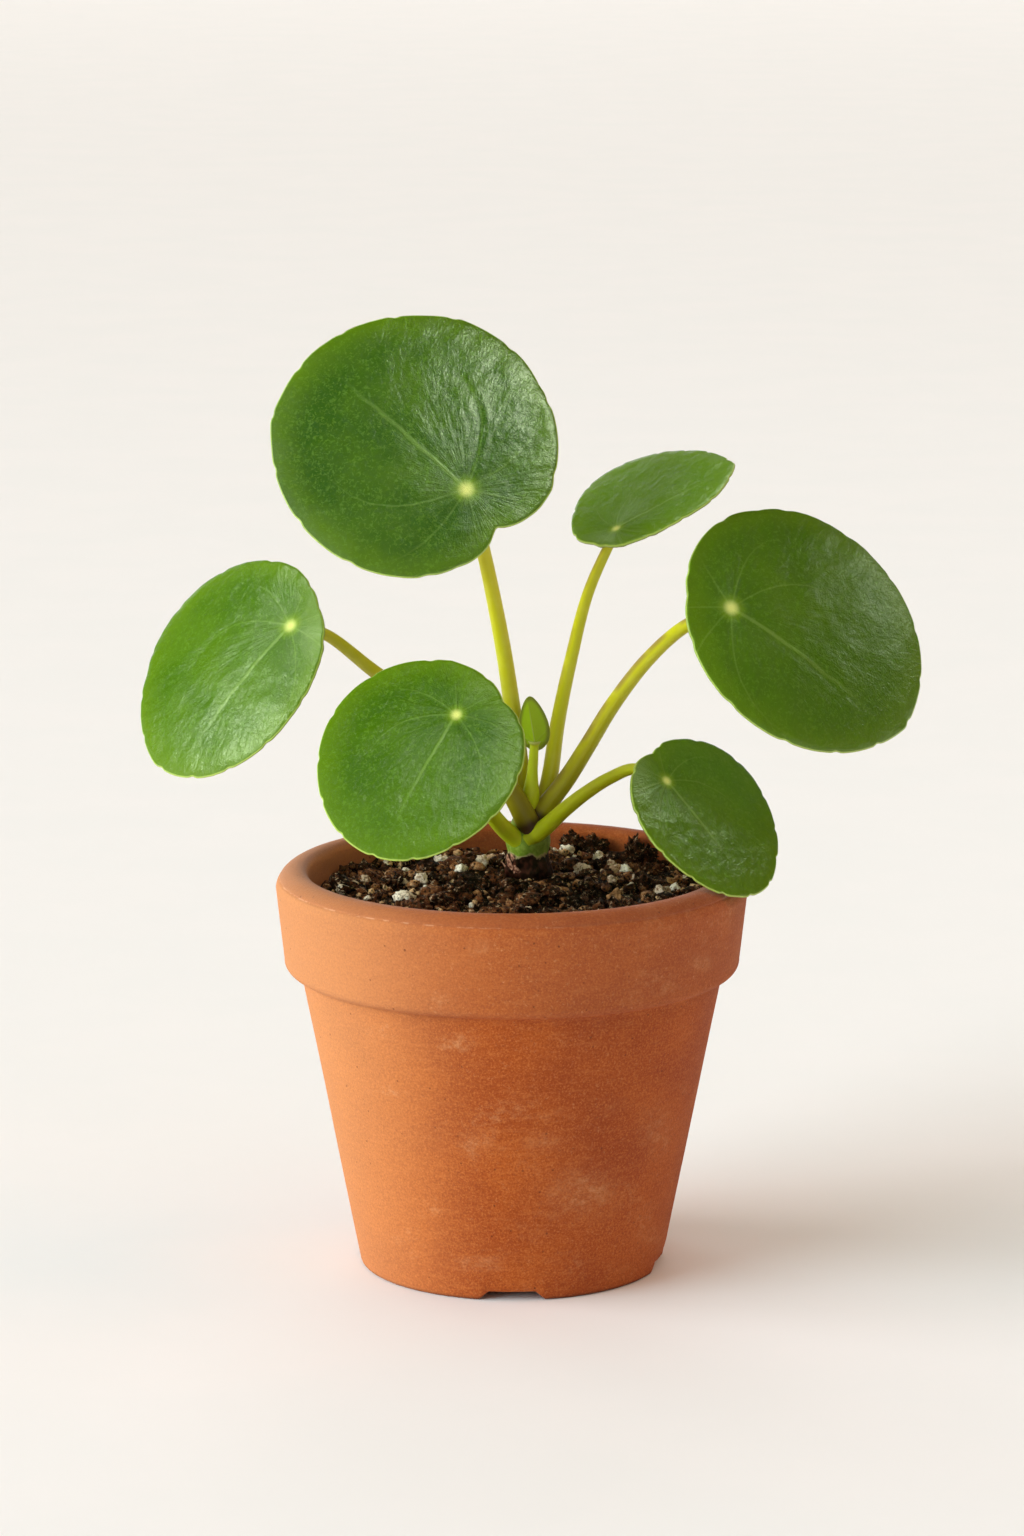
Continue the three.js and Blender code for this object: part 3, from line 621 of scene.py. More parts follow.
# Painted shade: the pores between the crumbs are painted near black.
cells = add_node(tree, "TexVoronoi", Vector=place, Scale=1.1).outputs["Distance"]
pore = fade(tree, cells, 0.42, 0.26)
colour = blend(tree, times(tree, pore, 0.85), colour, screen(10, 3, 1))
tree.links.new(colour, shader.inputs["Base Color"])
shader.inputs["Roughness"].default_value = 0.75
fine = raise_surface(tree, shader, pattern(tree, place, 0.4, detail=4, roughness=0.7), 0.3)
fine = raise_surface(tree, shader, pore, -0.5, fine)
raise_surface(tree, shader, mottle, 0.9, fine)
finish_piece("peat_bed", soil_mesh, peat, "soil", "soil")
finish_piece("peat_crumbs", crumb_mesh, peat, "soil")
finish_piece("peat_grit", grit_mesh, peat, "soil")

# %% [markdown]
# Pumice keeps the soil airy. Its grains are cream, rounded and pitted, and stained by the peat
# they have lain in. They are the brightest things on the bed, so those that the photograph
# shows are placed one by one: each is where its pixel meets the soil. More are drawn at random
# for the side out of sight.

# %% Grains of pumice
SEEN_GRAINS = (
    # across and down in the picture, width in millimetres, how stained from 0 to 1
    (554, 849, 2.6, 0.1), (574, 858, 1.3, 0), (613, 851, 3.6, 0.1), (656, 856, 2.2, 0.3),
    (583, 873, 4.5, 0.5), (612, 885, 2.8, 0.55), (637, 881, 2.8, 0.5), (664, 894, 4.6, 0.5),
    (616, 896, 4.4, 1), (616, 873, 3.8, 0.85), (536, 880, 1.3, 0.3), (575, 902, 1.4, 0.6),
    (404, 898, 4.8, 0.15), (342, 892, 2.8, 0.2), (461, 875, 2.8, 0.15), (481, 869, 4.4, 0.45),
    (446, 906, 2.4, 0.1), (390, 868, 2.3, 0.3), (406, 866, 2.2, 0.1), (441, 857, 3.2, 0.2),
    (376, 893, 1.6, 0.1), (368, 897, 2.1, 0.2), (471, 905, 1.4, 0.1), (366, 880, 2.8, 0.65),
    (336, 879, 3.2, 0.6), (318, 879, 2, 0.6), (474, 861, 2.2, 0.4), (528, 905, 1.4, 0.5),
)
HIDDEN_GRAINS = 34


def add_grain(bm, x, y, width, stain_and_painted_shade, dice):
    stain_layer = bm.verts.layers.float["stain_and_painted_shade"]
    stretch = (1, dice.uniform(0.75, 1), dice.uniform(0.65, 0.9))
    centre = Vector((x, y, soil_height(x, y) + width * 0.3))
    for vert in rough_lump(bm, centre, width / 2, stretch, dice, 3, 0.03):
        knock = noise.noise(vert.co * 1.1) * 0.2 + noise.noise(vert.co * 2.9) * 0.09
        vert.co += (vert.co - centre) * knock
        vert[stain_layer] = stain_and_painted_shade


dice = random.Random(77)
grain_mesh = bmesh.new()
grain_mesh.verts.layers.float.new("stain_and_painted_shade")
for across, down, width, stain_and_painted_shade in SEEN_GRAINS:
    spot = pixel_at_height(across, down, SOIL_TOP + 1)
    if spot.xy.length < inner_radius(SOIL_TOP) - width / 2:
        add_grain(grain_mesh, spot.x, spot.y, width, stain_and_painted_shade, dice)
for _ in range(HIDDEN_GRAINS):
    angle, distance = dice.uniform(math.pi, math.tau), 43 * math.sqrt(dice.uniform(0.2, 1))
    if math.sin(angle) * distance < -38:
        continue
    add_grain(grain_mesh, distance * math.cos(angle), -distance * math.sin(angle),
              dice.uniform(1.6, 4), dice.random(), dice)

# %% Pumice
pumice, tree, shader = new_material("pumice")
place = millimetres(tree)
stained = add_node(tree, "Attribute", {"attribute_name": "stain_and_painted_shade"}).outputs["Fac"]
colour = blend(tree, stained, screen(250, 238, 208), screen(180, 132, 84))
patchy = fade(tree, pattern(tree, place, 1.3, detail=6, roughness=0.75), 0.46, 0.62)
colour = blend(tree, times(tree, patchy, calculate(tree, "ADD", stained, 0.4)), colour,
               screen(124, 84, 46))
# Painted shade: the holes of the pumice are painted dark as well as sunk.
holes = add_node(tree, "TexVoronoi", Vector=place, Scale=1.7).outputs["Distance"]
hole = fade(tree, holes, 0.32, 0.12)
colour = blend(tree, times(tree, hole, 0.7), colour, screen(74, 52, 32))
tree.links.new(colour, shader.inputs["Base Color"])
shader.inputs["Roughness"].default_value = 0.9
fine = raise_surface(tree, shader, pattern(tree, place, 0.5, detail=3), 0.2)
raise_surface(tree, shader, hole, -0.35, fine)
finish_piece("pumice_grains", grain_mesh, pumice, "soil")

# %% [markdown]
# A few clods of peat and bark are far larger than the crumbs. Three stand up behind the crown,
# almost to the rim. They are lumps with many faces, torn ragged by three sizes of noise.

# %% Clods
CLODS = (
    # across and down in the picture, width in millimetres, height for each width
    (573, 842, 5.6, 1.2), (582, 838, 3.4, 2), (606, 842, 6.4, 0.8), (616, 834, 4, 1.5),
    (641, 850, 6.6, 1.3), (646, 842, 3.4, 2.3), (463, 893, 7.4, 0.55), (436, 880, 4.8, 0.6),
    (396, 882, 4.6, 0.6), (376, 896, 3.6, 0.6), (600, 864, 4.6, 0.5), (652, 872, 4.6, 0.6),
    (545, 893, 5.4, 0.5), (590, 893, 4.6, 0.6), (497, 880, 5, 0.5), (330, 868, 3.4, 0.7),
    (366, 866, 4.6, 0.7), (690, 880, 4, 0.6),
)
dice = random.Random(9)
clod_mesh = bmesh.new()
shade_layer = clod_mesh.verts.layers.float.new("shade")
for across, down, width, tallness in CLODS:
    spot = pixel_at_height(across, down, SOIL_TOP + width * tallness / 2)
    distance = min(spot.xy.length, inner_radius(SOIL_TOP) - width * 0.55)
    spot.xy = spot.xy.normalized() * distance
    centre = Vector((spot.x, spot.y, soil_height(spot.x, spot.y) + width * tallness * 0.3))
    shade = dice.uniform(0, 0.35)
    for vert in rough_lump(clod_mesh, centre, width / 2, (1, 0.8, tallness), dice, 4, 0.03):
        knock = noise.noise(vert.co * 0.5) * 0.5
        knock += noise.noise(vert.co * 1.2) * 0.3 + noise.noise(vert.co * 2.6) * 0.16
        vert.co += (vert.co - centre) * knock
        vert[shade_layer] = shade
finish_piece("peat_clods", clod_mesh, peat, "soil")

# %% [markdown]
# ## The leaves
# Each blade is a round, slightly domed disc, carried by its stalk at one spot off its middle.
# A blade could be drawn as a filled outline, but then its faces would be long and thin. Here
# it is turned on the wheel too: a flat lens with a rounded rim is spun, and its spokes are
# then stretched to the leaf's own edge. Every ring of vertices follows the edge, and there are
# enough of them to carry veins, puckers and a rolled margin as real relief.
# The values are those of the solids: where the stalk meets the blade, which way the upper side
# looks, where the tip points and how large it is. The edges follow the photograph a little
# more closely: the nicks say where the edge is drawn in (or, when negative, swells out), by how
# many millimetres and how many degrees to either side.

# %% Leaves by number
LEAVES = (
    dict(spot=(-10.4, -4, 183.5), facing=(-90.4, 28.2), turn=135.4, length=66.9, width=65.3,
         middle=(17.5, -0.4), lobes=(0.44, 15), dome=2.5,
         nicks=((176, 2.2, 20), (172, 1.3, 28), (176, 0.8, 9), (152, 0.7, 20), (-156, -1.1, 28),
                (-108, 1, 28), (32, -0.8, 14), (-64, -0.8, 20)),
         route=((2.9, 15.4, 104), (1.7, 15, 116.5), (-0.2, 13, 131.2), (-2.4, 10, 146),
                (-6.9, 3, 169.4)), thick=(5, 3.1), ripe=0.9, young=0, order=1,
         crease=(66, 71, 0.68)),
    dict(spot=(-51.4, 4, 150.5), facing=(-125.2, 35.7), turn=-120.2, length=55, width=53.8,
         middle=(16.9, -8.9), lobes=(0.56, 7), dome=3.5,
         nicks=((0, -0.8, 28), (-52, 0.7, 28), (-172, -0.6, 28), (156, 0.6, 14)),
         route=((4.2, 10.4, 101.6), (-0.5, 9.5, 110.5), (-14, 9, 126.4), (-31.2, 9, 138.1),
                (-43.4, 9, 147.5)), thick=(6.2, 2.5), ripe=1.0, young=0.25, order=2),
    dict(spot=(-12.7, -24, 134.9), facing=(-104.7, 37.9), turn=-111.9, length=49.1, width=49,
         middle=(12.2, -3.4), lobes=(0.35, 2), dome=3,
         nicks=((150, 1.6, 20), (-168, -0.4, 20)),
         route=((2.6, 10.6, 97.6), (-0.5, 9, 100.1), (-4.2, 4, 105.2), (-8.5, -6, 115),
                (-11.8, -17, 126.5)), thick=(5, 2.6), ripe=0.15, young=0.1, order=3),
    dict(spot=(24.2, 20, 170.9), facing=(-135.4, 58.1), turn=60.3, length=39.9, width=38.7,
         middle=(10.9, 8.4), lobes=(1.28, -26), dome=1.5,
         nicks=((-152, 1.3, 28), (-16, -1.1, 20)),
         route=((5, 14.2, 101), (8.2, 16.6, 109), (10.8, 18, 125.3), (13.8, 19.5, 139.5),
                (17.9, 20.5, 155.5)), thick=(5.1, 2.3), ripe=0.8, young=0.8, order=4),
    dict(spot=(50.7, 2, 155), facing=(-70.1, 34.6), turn=-37.7, length=64, width=60.9,
         middle=(17.9, 9.1), lobes=(0.38, 20), dome=4,
         nicks=((-8, -0.8, 20), (-156, 0.7, 14), (136, 0.6, 14)),
         route=((6, 12.3, 103.6), (12.7, 12, 112.5), (17.6, 12, 120.4), (23.6, 12, 130.4),
                (31.8, 11.5, 141.3), (40.4, 9.5, 149.4)), thick=(5.2, 2.9), ripe=0.95, young=0.4,
         order=5),
    dict(spot=(35.6, -14, 117.6), facing=(-52.2, 40.9), turn=-70.3, length=41.6, width=39.7,
         middle=(11.8, 4.5), lobes=(0.65, -12), dome=2.5,
         nicks=((-174, 1.3, 17), (28, 0.5, 20)),
         route=((5, 9.4, 99.6), (7.5, 8.5, 101.6), (12.1, 5, 106.6), (17.4, 1, 111.7),
                (22.7, -3, 115.9), (28.2, -7, 118.8)), thick=(4.8, 2.4), ripe=0.35, young=0.5,
         order=6),
)
BUD = dict(spot=(5.2, 10.4, 122), facing=(96, 4), turn=80, length=13.4, width=6.8,
           middle=(4.4, 0.5), lobes=(0, 0), dome=4, point=0.35, nicks=(),
           route=((4.4, 12.4, 105), (4.5, 11.6, 110), (4.8, 10.8, 115)), thick=(3.4, 2.1),
           ripe=0.1, young=1, order=7, sheath=0.45)
print(len(LEAVES), "leaves and one bud")

# %% Axes and edge of a blade
CRENATION = 0.35
CRENATIONS = 13
NICK_SHARPNESS = 1.5


def blade_axes(leaf):
    """X runs along the midrib to the tip, and Z out of the upper side."""
    azimuth, elevation = (math.radians(value) for value in leaf["facing"])
    turn = math.radians(leaf["turn"])
    level = Vector((-math.sin(azimuth), math.cos(azimuth), 0))
    face = Vector((math.cos(elevation) * math.cos(azimuth),
                   math.cos(elevation) * math.sin(azimuth), math.sin(elevation)))
    tip = level * math.cos(turn) + face.cross(level) * math.sin(turn)
    axes = Matrix((tip, face.cross(tip), face)).transposed().to_4x4()
    return Matrix.Translation(leaf["spot"]) @ axes


def edge_point(leaf, degrees):
    """A point of the edge, by its angle from the tip round the blade's middle."""
    angle = math.radians(degrees)
    cut = 0
    for at, depth, half_width in leaf["nicks"]:
        turn = abs((degrees - at + 540) % 360 - 180)
        cut += depth * max(0, 1 - turn / half_width) ** NICK_SHARPNESS
    corner, corner_at = leaf["lobes"]
    if leaf["nicks"]:
        wave = math.cos(angle * CRENATIONS + 3 * math.sin(angle) + leaf["length"])
        cut += CRENATION * max(0, wave) ** 8
    change = corner * math.cos(3 * (angle - math.radians(corner_at))) - cut
    narrowing = 1 - leaf.get("point", 0) * math.cos(angle)
    return Vector((leaf["middle"][0] + (leaf["length"] / 2 + change) * math.cos(angle),
                   leaf["middle"][1] + (leaf["width"] / 2 + change) * math.sin(angle) * narrowing))

# %% [markdown]
# The veins leave the spot like the ribs of a fan, and the side ones bend towards the tip as
# they go. One small table describes them all: the angle at which a vein leaves the midrib,
# how many degrees it has bent when it has gone the leaf's whole reach, and how far it runs,
# counted in reaches. Both the relief and the colour are worked out from this table.

# %% Veins and relief
VEINS = ((0, 0, 0.92), (65, 70, 0.8), (104, 70, 0.6), (150, 60, 0.35))
VEIN_RIDGE = 0.08
VEIN_TROUGH = 0.26
PUCKER = 0.24
WRINKLE = 0.1
STREAK = 0.06
RAY = 0.1
CREASE = 0.22


def reach_of(leaf):
    return leaf["middle"][0] + leaf["length"] / 2


def vein_nearness(leaf, x, y):
    """Distance to the nearest vein in millimetres, and how strong that vein is there."""
    radius = math.hypot(x, y)
    share = radius / reach_of(leaf)
    angle = abs(math.atan2(y, x))
    nearest, strength = 99, 0
    for start, bent, length in VEINS:
        apart = radius * abs(angle - math.radians(start - bent * share ** 2))
        if apart < nearest:
            nearest, strength = apart, max(0, 1 - share / length)
    return nearest, strength


def upper_side(leaf, x, y):
    """Height of the upper side over the flat blade."""
    radius = math.hypot(x, y)
    away = (radius / 28) ** 2
    height = -leaf["dome"] * away
    if "point" in leaf:
        return height + BUD_FOLD * abs(y)
    height += 0.35 * math.sin(math.atan2(y, x) * 3 + leaf["width"]) * away
    nearest, strength = vein_nearness(leaf, x, y)
    height += strength * (VEIN_RIDGE * math.exp(-((nearest / 0.4) ** 2))
                          - VEIN_TROUGH * math.exp(-((nearest / 2.2) ** 2)))
    seed = leaf["order"] * 31
    far = min(1, radius / 12)
    height += PUCKER * far * noise.noise(Vector((x / 6, y / 6, seed)))
    height += WRINKLE * far * noise.noise(Vector((x / 1.9, y / 1.9, seed)))
    direction = Vector((x, y)) / max(radius, 0.1)
    height += STREAK * far * noise.noise(Vector((*direction * 13, radius / 5 + seed)))
    near = math.exp(-(((radius - 5) / 4.5) ** 2))
    height += RAY * near * noise.noise(Vector((*direction * 5, radius / 9 + seed)))
    if "crease" in leaf:
        start, bent, length = leaf["crease"]
        share = radius / reach_of(leaf)
        side = radius * (math.atan2(y, x) + math.radians(start - bent * share ** 2))
        step = side / 0.8 * math.exp(-((side / 1.3) ** 2))
        height -= CREASE * step * max(0, 1 - (share / length) ** 3) * far
    return height - 0.15 * math.exp(-((radius / 1.2) ** 2))

# %% [markdown]
# The blade is 0.8 mm thick at the spot and thins towards its edge, where the rim is rounded
# and rolled down a little. On the underside the veins stand out, as they do on the real leaf.
# Each vertex keeps its distance from the edge and the side it lies on as attributes, and its
# place on the blade as a UV in reaches, so that the material can draw margin, spot and veins.

# %% Turn, stretch and place a blade
BLADE_SPOKES = 300
BLADE_RINGS = 60
BUD_SPOKES = 96
BUD_RINGS = 20
RIM_STEPS = 6
RIM_SHARE = 0.008
THICK_MIDDLE = 0.8
THICK_EDGE = 0.5
ROLL = 0.3
BUD_FOLD = 0.3


def lens_outline(rings):
    upper = [(share[0], 0) for share in straight((0, 0), (1 - RIM_SHARE, 0), rings)]
    rim = [(1 - RIM_SHARE * (1 - math.cos(a)), (math.sin(a) - 1) / 2)
           for a in (math.pi / 2 - math.pi * step / RIM_STEPS for step in range(1, RIM_STEPS))]
    lower = [(radius, -1) for radius, _ in reversed(upper[1::2])]
    return [(0, 0)] + upper + rim + [(1 - RIM_SHARE, -1)] + lower[1:] + [(0, -1)]


def make_blade(name, leaf, lens, material, node):
    bm = lens.copy()
    margin = bm.verts.layers.float.new("margin")
    under = bm.verts.layers.float.new("under")
    young = bm.verts.layers.float.new("young")
    uv = bm.loops.layers.uv.new("blade")
    reach = reach_of(leaf)
    for vert in bm.verts:
        share, depth = vert.co.xy.length, -vert.co.z
        edge = edge_point(leaf, math.degrees(math.atan2(vert.co.y, vert.co.x)))
        x, y = edge * share
        vert[margin] = edge.length * (1 - share)
        vert[under] = depth
        vert[young] = leaf["young"]
        thickness = THICK_MIDDLE + (THICK_EDGE - THICK_MIDDLE) * share
        nearest, strength = vein_nearness(leaf, x, y)
        thickness += depth * 0.3 * strength * math.exp(-((nearest / 0.6) ** 2))
        roll = ROLL * max(0, (share - 0.93) / 0.07) ** 2
        vert.co = (x, y, upper_side(leaf, x, y) - depth * thickness - roll)
    for face in bm.faces:
        for loop in face.loops:
            loop[uv].uv = loop.vert.co.xy / reach
    bmesh.ops.transform(bm, matrix=blade_axes(leaf), verts=bm.verts)
    return finish_piece(name, bm, material, "leaf", node)

# %% [markdown]
# A pilea leaf is a deep, clean green with a waxy gloss. Soft warmer patches are painted on it as
# painted light, for the light that comes through it, and its veins and a hair-thin margin are a
# pale yellow green. The stalk shines through as a bright spot. The underside is paler and dull,
# and painted shade darkens it along the rim. The gloss breaks up on fine wrinkles, which fan out
# from the spot and turn into a crackle further out; pale flecks painted over the blade are
# painted glints of that gloss. Each blade also leans towards a brighter young green, partly for
# its age and partly as painted light.

# %% Draw the veins
def vein_mask(tree, blade_place, wobble):
    split = add_node(tree, "SeparateXYZ", Vector=blade_place)
    radius = add_node(tree, "VectorMath", {"operation": "LENGTH"},
                      Vector=blade_place).outputs["Value"]
    angle = calculate(tree, "ARCTAN2", split.outputs["Y"], split.outputs["X"])
    angle = calculate(tree, "ABSOLUTE", calculate(tree, "ADD", angle, wobble))
    squared = times(tree, radius, radius)
    strongest = 0.0
    for start, bent, length in VEINS:
        line = calculate(tree, "MULTIPLY_ADD", squared, -math.radians(bent), math.radians(start))
        apart = times(tree, calculate(tree, "ABSOLUTE", calculate(tree, "SUBTRACT", angle, line)),
                      radius)
        width = 0.014 if start == 0 else 0.007
        mask = times(tree, fade(tree, apart, width, width * 0.25),
                     fade(tree, radius, length, length * 0.3),
                     1.0 if start == 0 else 0.5)
        strongest = calculate(tree, "MAXIMUM", strongest, mask)
    return strongest, radius

# %% Waxy green of the blades
def leaf_material(name, deep, warm, below):
    material, tree, shader = new_material(name)
    place = millimetres(tree)
    blade_place = add_node(tree, "UVMap", {"uv_map": "blade"}).outputs[0]
    margin = add_node(tree, "Attribute", {"attribute_name": "margin"}).outputs["Fac"]
    under = add_node(tree, "Attribute", {"attribute_name": "under"}).outputs["Fac"]
    young = add_node(tree, "Attribute", {"attribute_name": "young"}).outputs["Fac"]
    slow = pattern(tree, place, 16, detail=3)
    wobble = times(tree, calculate(tree, "SUBTRACT", pattern(tree, place, 7, detail=3), 0.5), 0.06)
    veins, radius = vein_mask(tree, blade_place, wobble)
    # Painted light: soft warmer patches stand for light coming through the blade.
    colour = blend(tree, fade(tree, slow, 0.35, 0.7), deep, warm)
    # Each blade leans towards a brighter young green by its own share, partly for its age and partly as
    # painted light.
    colour = blend(tree, young, colour, screen(99, 136, 4))
    fine = pattern(tree, place, 1.2, detail=5, roughness=0.7)
    colour = blend(tree, times(tree, fade(tree, fine, 0.35, 0.75), 0.35), colour, warm)
    # Painted highlight: pale flecks over the blade stand for glints of its gloss.
    painted_glints = pattern(tree, place, 0.9, detail=4, roughness=0.65, distortion=1.0)
    colour = blend(tree, times(tree, fade(tree, painted_glints, 0.5, 0.64), 0.38), colour,
                   screen(106, 142, 40))
    colour = blend(tree, times(tree, fade(tree, margin, 10, 0), 0.45), colour,
                   screen(102, 132, 0))
    colour = blend(tree, times(tree, veins, 0.3), colour, screen(150, 180, 80))
    colour = blend(tree, times(tree, fade(tree, radius, 0.09, 0.02), 0.55), colour,
                   screen(140, 172, 30))
    colour = blend(tree, fade(tree, radius, 0.05, 0.006), colour, screen(226, 228, 120))
    colour = blend(tree, fade(tree, margin, 0.4, 0.1), colour, screen(168, 188, 76))
    pale = blend(tree, times(tree, veins, 0.6), below, screen(196, 206, 120))
    colour = blend(tree, fade(tree, under, 0.45, 0.8), colour, pale)
    # Painted shade: the underside darkens to olive brown along its rim.
    painted_rim_shade = times(tree, fade(tree, under, 0.3, 0.6), fade(tree, margin, 1.6, 0.3))
    colour = blend(tree, times(tree, painted_rim_shade, 0.6), colour, screen(112, 98, 44))
    tree.links.new(colour, shader.inputs["Base Color"])
    dull = add_node(tree, "MapRange", Value=under, To_Min=0.27, To_Max=0.65).outputs[0]
    tree.links.new(dull, shader.inputs["Roughness"])
    shader.inputs["Specular IOR Level"].default_value = 0.7
    shader.inputs["Subsurface Weight"].default_value = 0.12
    shader.inputs["Subsurface Radius"].default_value = (0.6, 1.0, 0.2)
    shader.inputs["Subsurface Scale"].default_value = 1.2 * MM
    wrinkle_leaf(tree, shader, place, blade_place, radius)
    return material


def wrinkle_leaf(tree, shader, place, blade_place, radius):
    direction = add_node(tree, "VectorMath", {"operation": "NORMALIZE"}, Vector=blade_place)
    fan_place = add_node(tree, "VectorMath", {"operation": "MULTIPLY_ADD"},
                         Vector=direction.outputs[0])
    fan_place.inputs[1].default_value = (26, 26, 26)
    along = add_node(tree, "CombineXYZ", Z=times(tree, radius, 14))
    tree.links.new(along.outputs[0], fan_place.inputs[2])
    fan = add_node(tree, "TexNoise", Vector=fan_place.outputs[0], Scale=1.0, Detail=5.0,
                   Roughness=0.62, Distortion=0.4)
    below = raise_surface(tree, shader, fan.outputs["Fac"], 0.13)
    crackle = pattern(tree, place, 1.1, detail=4, roughness=0.6, distortion=1.0)
    below = raise_surface(tree, shader, crackle, 0.12, below)
    raise_surface(tree, shader, pattern(tree, place, 0.45, detail=2), 0.04, below)

# %% Make the blades
leaf_green = leaf_material("waxy leaf", screen(47, 84, 0), screen(69, 102, 0),
                           screen(140, 164, 88))
lens = turn_outline(lens_outline(BLADE_RINGS), BLADE_SPOKES)
for leaf in LEAVES:
    make_blade(f"blade_{leaf['order']}", leaf, lens, leaf_green, f"leaf_{leaf['order']}")
lens.free()
# The bud's greens are brighter than its own colour: painted light, since the leaves round it keep it in
# shade.
young_green = leaf_material("young leaf", screen(150, 190, 0), screen(166, 200, 4),
                            screen(176, 208, 0))
small_lens = turn_outline(lens_outline(BUD_RINGS), BUD_SPOKES)
make_blade("blade_bud", BUD, small_lens, young_green, "bud_leaf")
small_lens.free()

# %% [markdown]
# ## The stalks
# A stalk is a round, tapering rod that leaves the crown and runs in one smooth curve to its
# blade. A bevelled curve would give the rod, but a mesh that is extruded ring by ring can also
# remember how far along and on which side each vertex lies. The curve is the one that the
# solid follows: it passes through given points, with no swing between them.

# %% A smooth curve through points
CURVE_STEPS = 24


def through_points(points):
    """Centripetal Catmull-Rom curve through the points, as a dense list."""
    points = [Vector(point) for point in points]
    points = [2 * points[0] - points[1], *points, 2 * points[-1] - points[-2]]
    dense = []
    for a, b, c, d in zip(points, points[1:], points[2:], points[3:]):
        knots = [0]
        for start, end in ((a, b), (b, c), (c, d)):
            knots.append(knots[-1] + math.sqrt((end - start).length))
        for step in range(CURVE_STEPS):
            t = knots[1] + (knots[2] - knots[1]) * step / CURVE_STEPS
            layer = [a, b, c, d]
            for gap in (1, 2, 3):
                low = [0, 1, 2] if gap == 1 else ([0, 1] if gap == 2 else [1])
                layer = blend_layer(layer, knots, t, gap, low)
            dense.append(layer[0])
    return dense + [points[-2]]


def blend_layer(layer, knots, t, gap, low):
    """One step of the Barry-Goldman pyramid that a Catmull-Rom curve is worked out by."""
    mixed = []
    for first, second, index in zip(layer, layer[1:], low):
        span = 1 if gap == 1 else (2 if gap == 2 else 1)
        share = (t - knots[index]) / (knots[index + span] - knots[index])
        mixed.append(first.lerp(second, share))
    return mixed


def evenly_along(dense, steps):
    lengths = [0]
    for start, end in zip(dense, dense[1:]):
        lengths.append(lengths[-1] + (end - start).length)
    spaced, index = [], 0
    for step in range(steps + 1):
        wanted = lengths[-1] * step / steps
        while index < len(dense) - 2 and lengths[index + 1] < wanted:
            index += 1
        share = (wanted - lengths[index]) / (lengths[index + 1] - lengths[index])
        spaced.append(dense[index].lerp(dense[index + 1], min(1, share)))
    return spaced

# %% Extrude a rod along a curve
STALK_SIDES = 22
STALK_STEPS = 70


def ring_matrices(spaced, radii):
    """A matrix for each ring: its place, its direction without twist, and its radius."""
    matrices = []
    turn = Vector((0, 0, 1)).rotation_difference(spaced[1] - spaced[0])
    previous = (spaced[1] - spaced[0]).normalized()
    for index, (centre, radius) in enumerate(zip(spaced, radii)):
        ahead = spaced[min(index + 1, len(spaced) - 1)] - spaced[max(index - 1, 0)]
        ahead.normalize()
        turn = previous.rotation_difference(ahead) @ turn
        previous = ahead
        matrices.append(Matrix.LocRotScale(centre, turn, (radius, radius, radius)))
    return matrices


def extrude_rod(spaced, radii):
    """A closed rod whose vertices keep how far along they are and how much they face the sun."""
    bm = bmesh.new()
    along_layer = bm.verts.layers.float.new("along")
    sunny_layer = bm.verts.layers.float.new("sunny")
    matrices = ring_matrices(spaced, radii)
    made = bmesh.ops.create_circle(bm, segments=STALK_SIDES, radius=1, matrix=matrices[0])
    ring = made["verts"]
    loop = list({edge for vert in ring for edge in vert.link_edges})
    bmesh.ops.contextual_create(bm, geom=loop)
    for step, (before, after) in enumerate(zip(matrices, matrices[1:]), 1):
        grown = bmesh.ops.extrude_edge_only(bm, edges=loop)["geom"]
        ring = [item for item in grown if isinstance(item, bmesh.types.BMVert)]
        loop = [item for item in grown if isinstance(item, bmesh.types.BMEdge)]
        bmesh.ops.transform(bm, matrix=after @ before.inverted(), verts=ring)
        for vert in ring:
            vert[along_layer] = step / (len(matrices) - 1)
            vert[sunny_layer] = (vert.co - spaced[step]).normalized().dot(SUNNY_SIDE)
    bmesh.ops.contextual_create(bm, geom=loop)
    bmesh.ops.recalc_face_normals(bm, faces=bm.faces)
    return bm

# %% [markdown]
# A stalk is thickest at its swollen base and flares again just below the blade, where it
# grows into the pale spot. It starts a little inside the crown, so that no gap shows.

# %% Make a stalk
SUNNY_SIDE = Vector((-0.55, -0.25, 0.8)).normalized()
FLARE_POWER = 0.55
BASE_INSIDE = 1.6
NECK_REACH = 6


def make_stalk(name, leaf, material, node):
    facing = blade_axes(leaf).col[2].xyz
    neck = Vector(leaf["spot"]) - facing * 0.5
    dense = through_points((*leaf["route"], neck))
    start = (dense[0] - dense[1]).normalized()
    dense.insert(0, dense[0] + start * BASE_INSIDE)
    spaced = evenly_along(dense, STALK_STEPS)
    base, tip = (diameter / 2 for diameter in leaf["thick"])
    radii = []
    for step in range(STALK_STEPS + 1):
        along = step / STALK_STEPS
        radius = base + (tip - base) * along ** FLARE_POWER
        radius *= 1 + leaf.get("sheath", 0) * math.exp(-(((along - 0.3) / 0.22) ** 2))
        radii.append(radius * (1 + 0.45 * max(0, (along - 0.94) / 0.06) ** 2))
    bm = extrude_rod(spaced, radii)
    ripe = bm.verts.layers.float.new("ripe")
    for vert in bm.verts:
        vert[ripe] = leaf["ripe"]
        above = (vert.co - neck).dot(facing)
        if above > 0 and (vert.co - neck).length < NECK_REACH:
            vert.co -= facing * above
    return finish_piece(name, bm, material, "petiole", node)

# %% [markdown]
# Old stalks are yellow green with a violet-brown blush on the side that gets the sun, and
# young ones a fresh green. The oldest are brown at the base, with a thin dark line where they
# leave the crown, and all are faintly mottled.

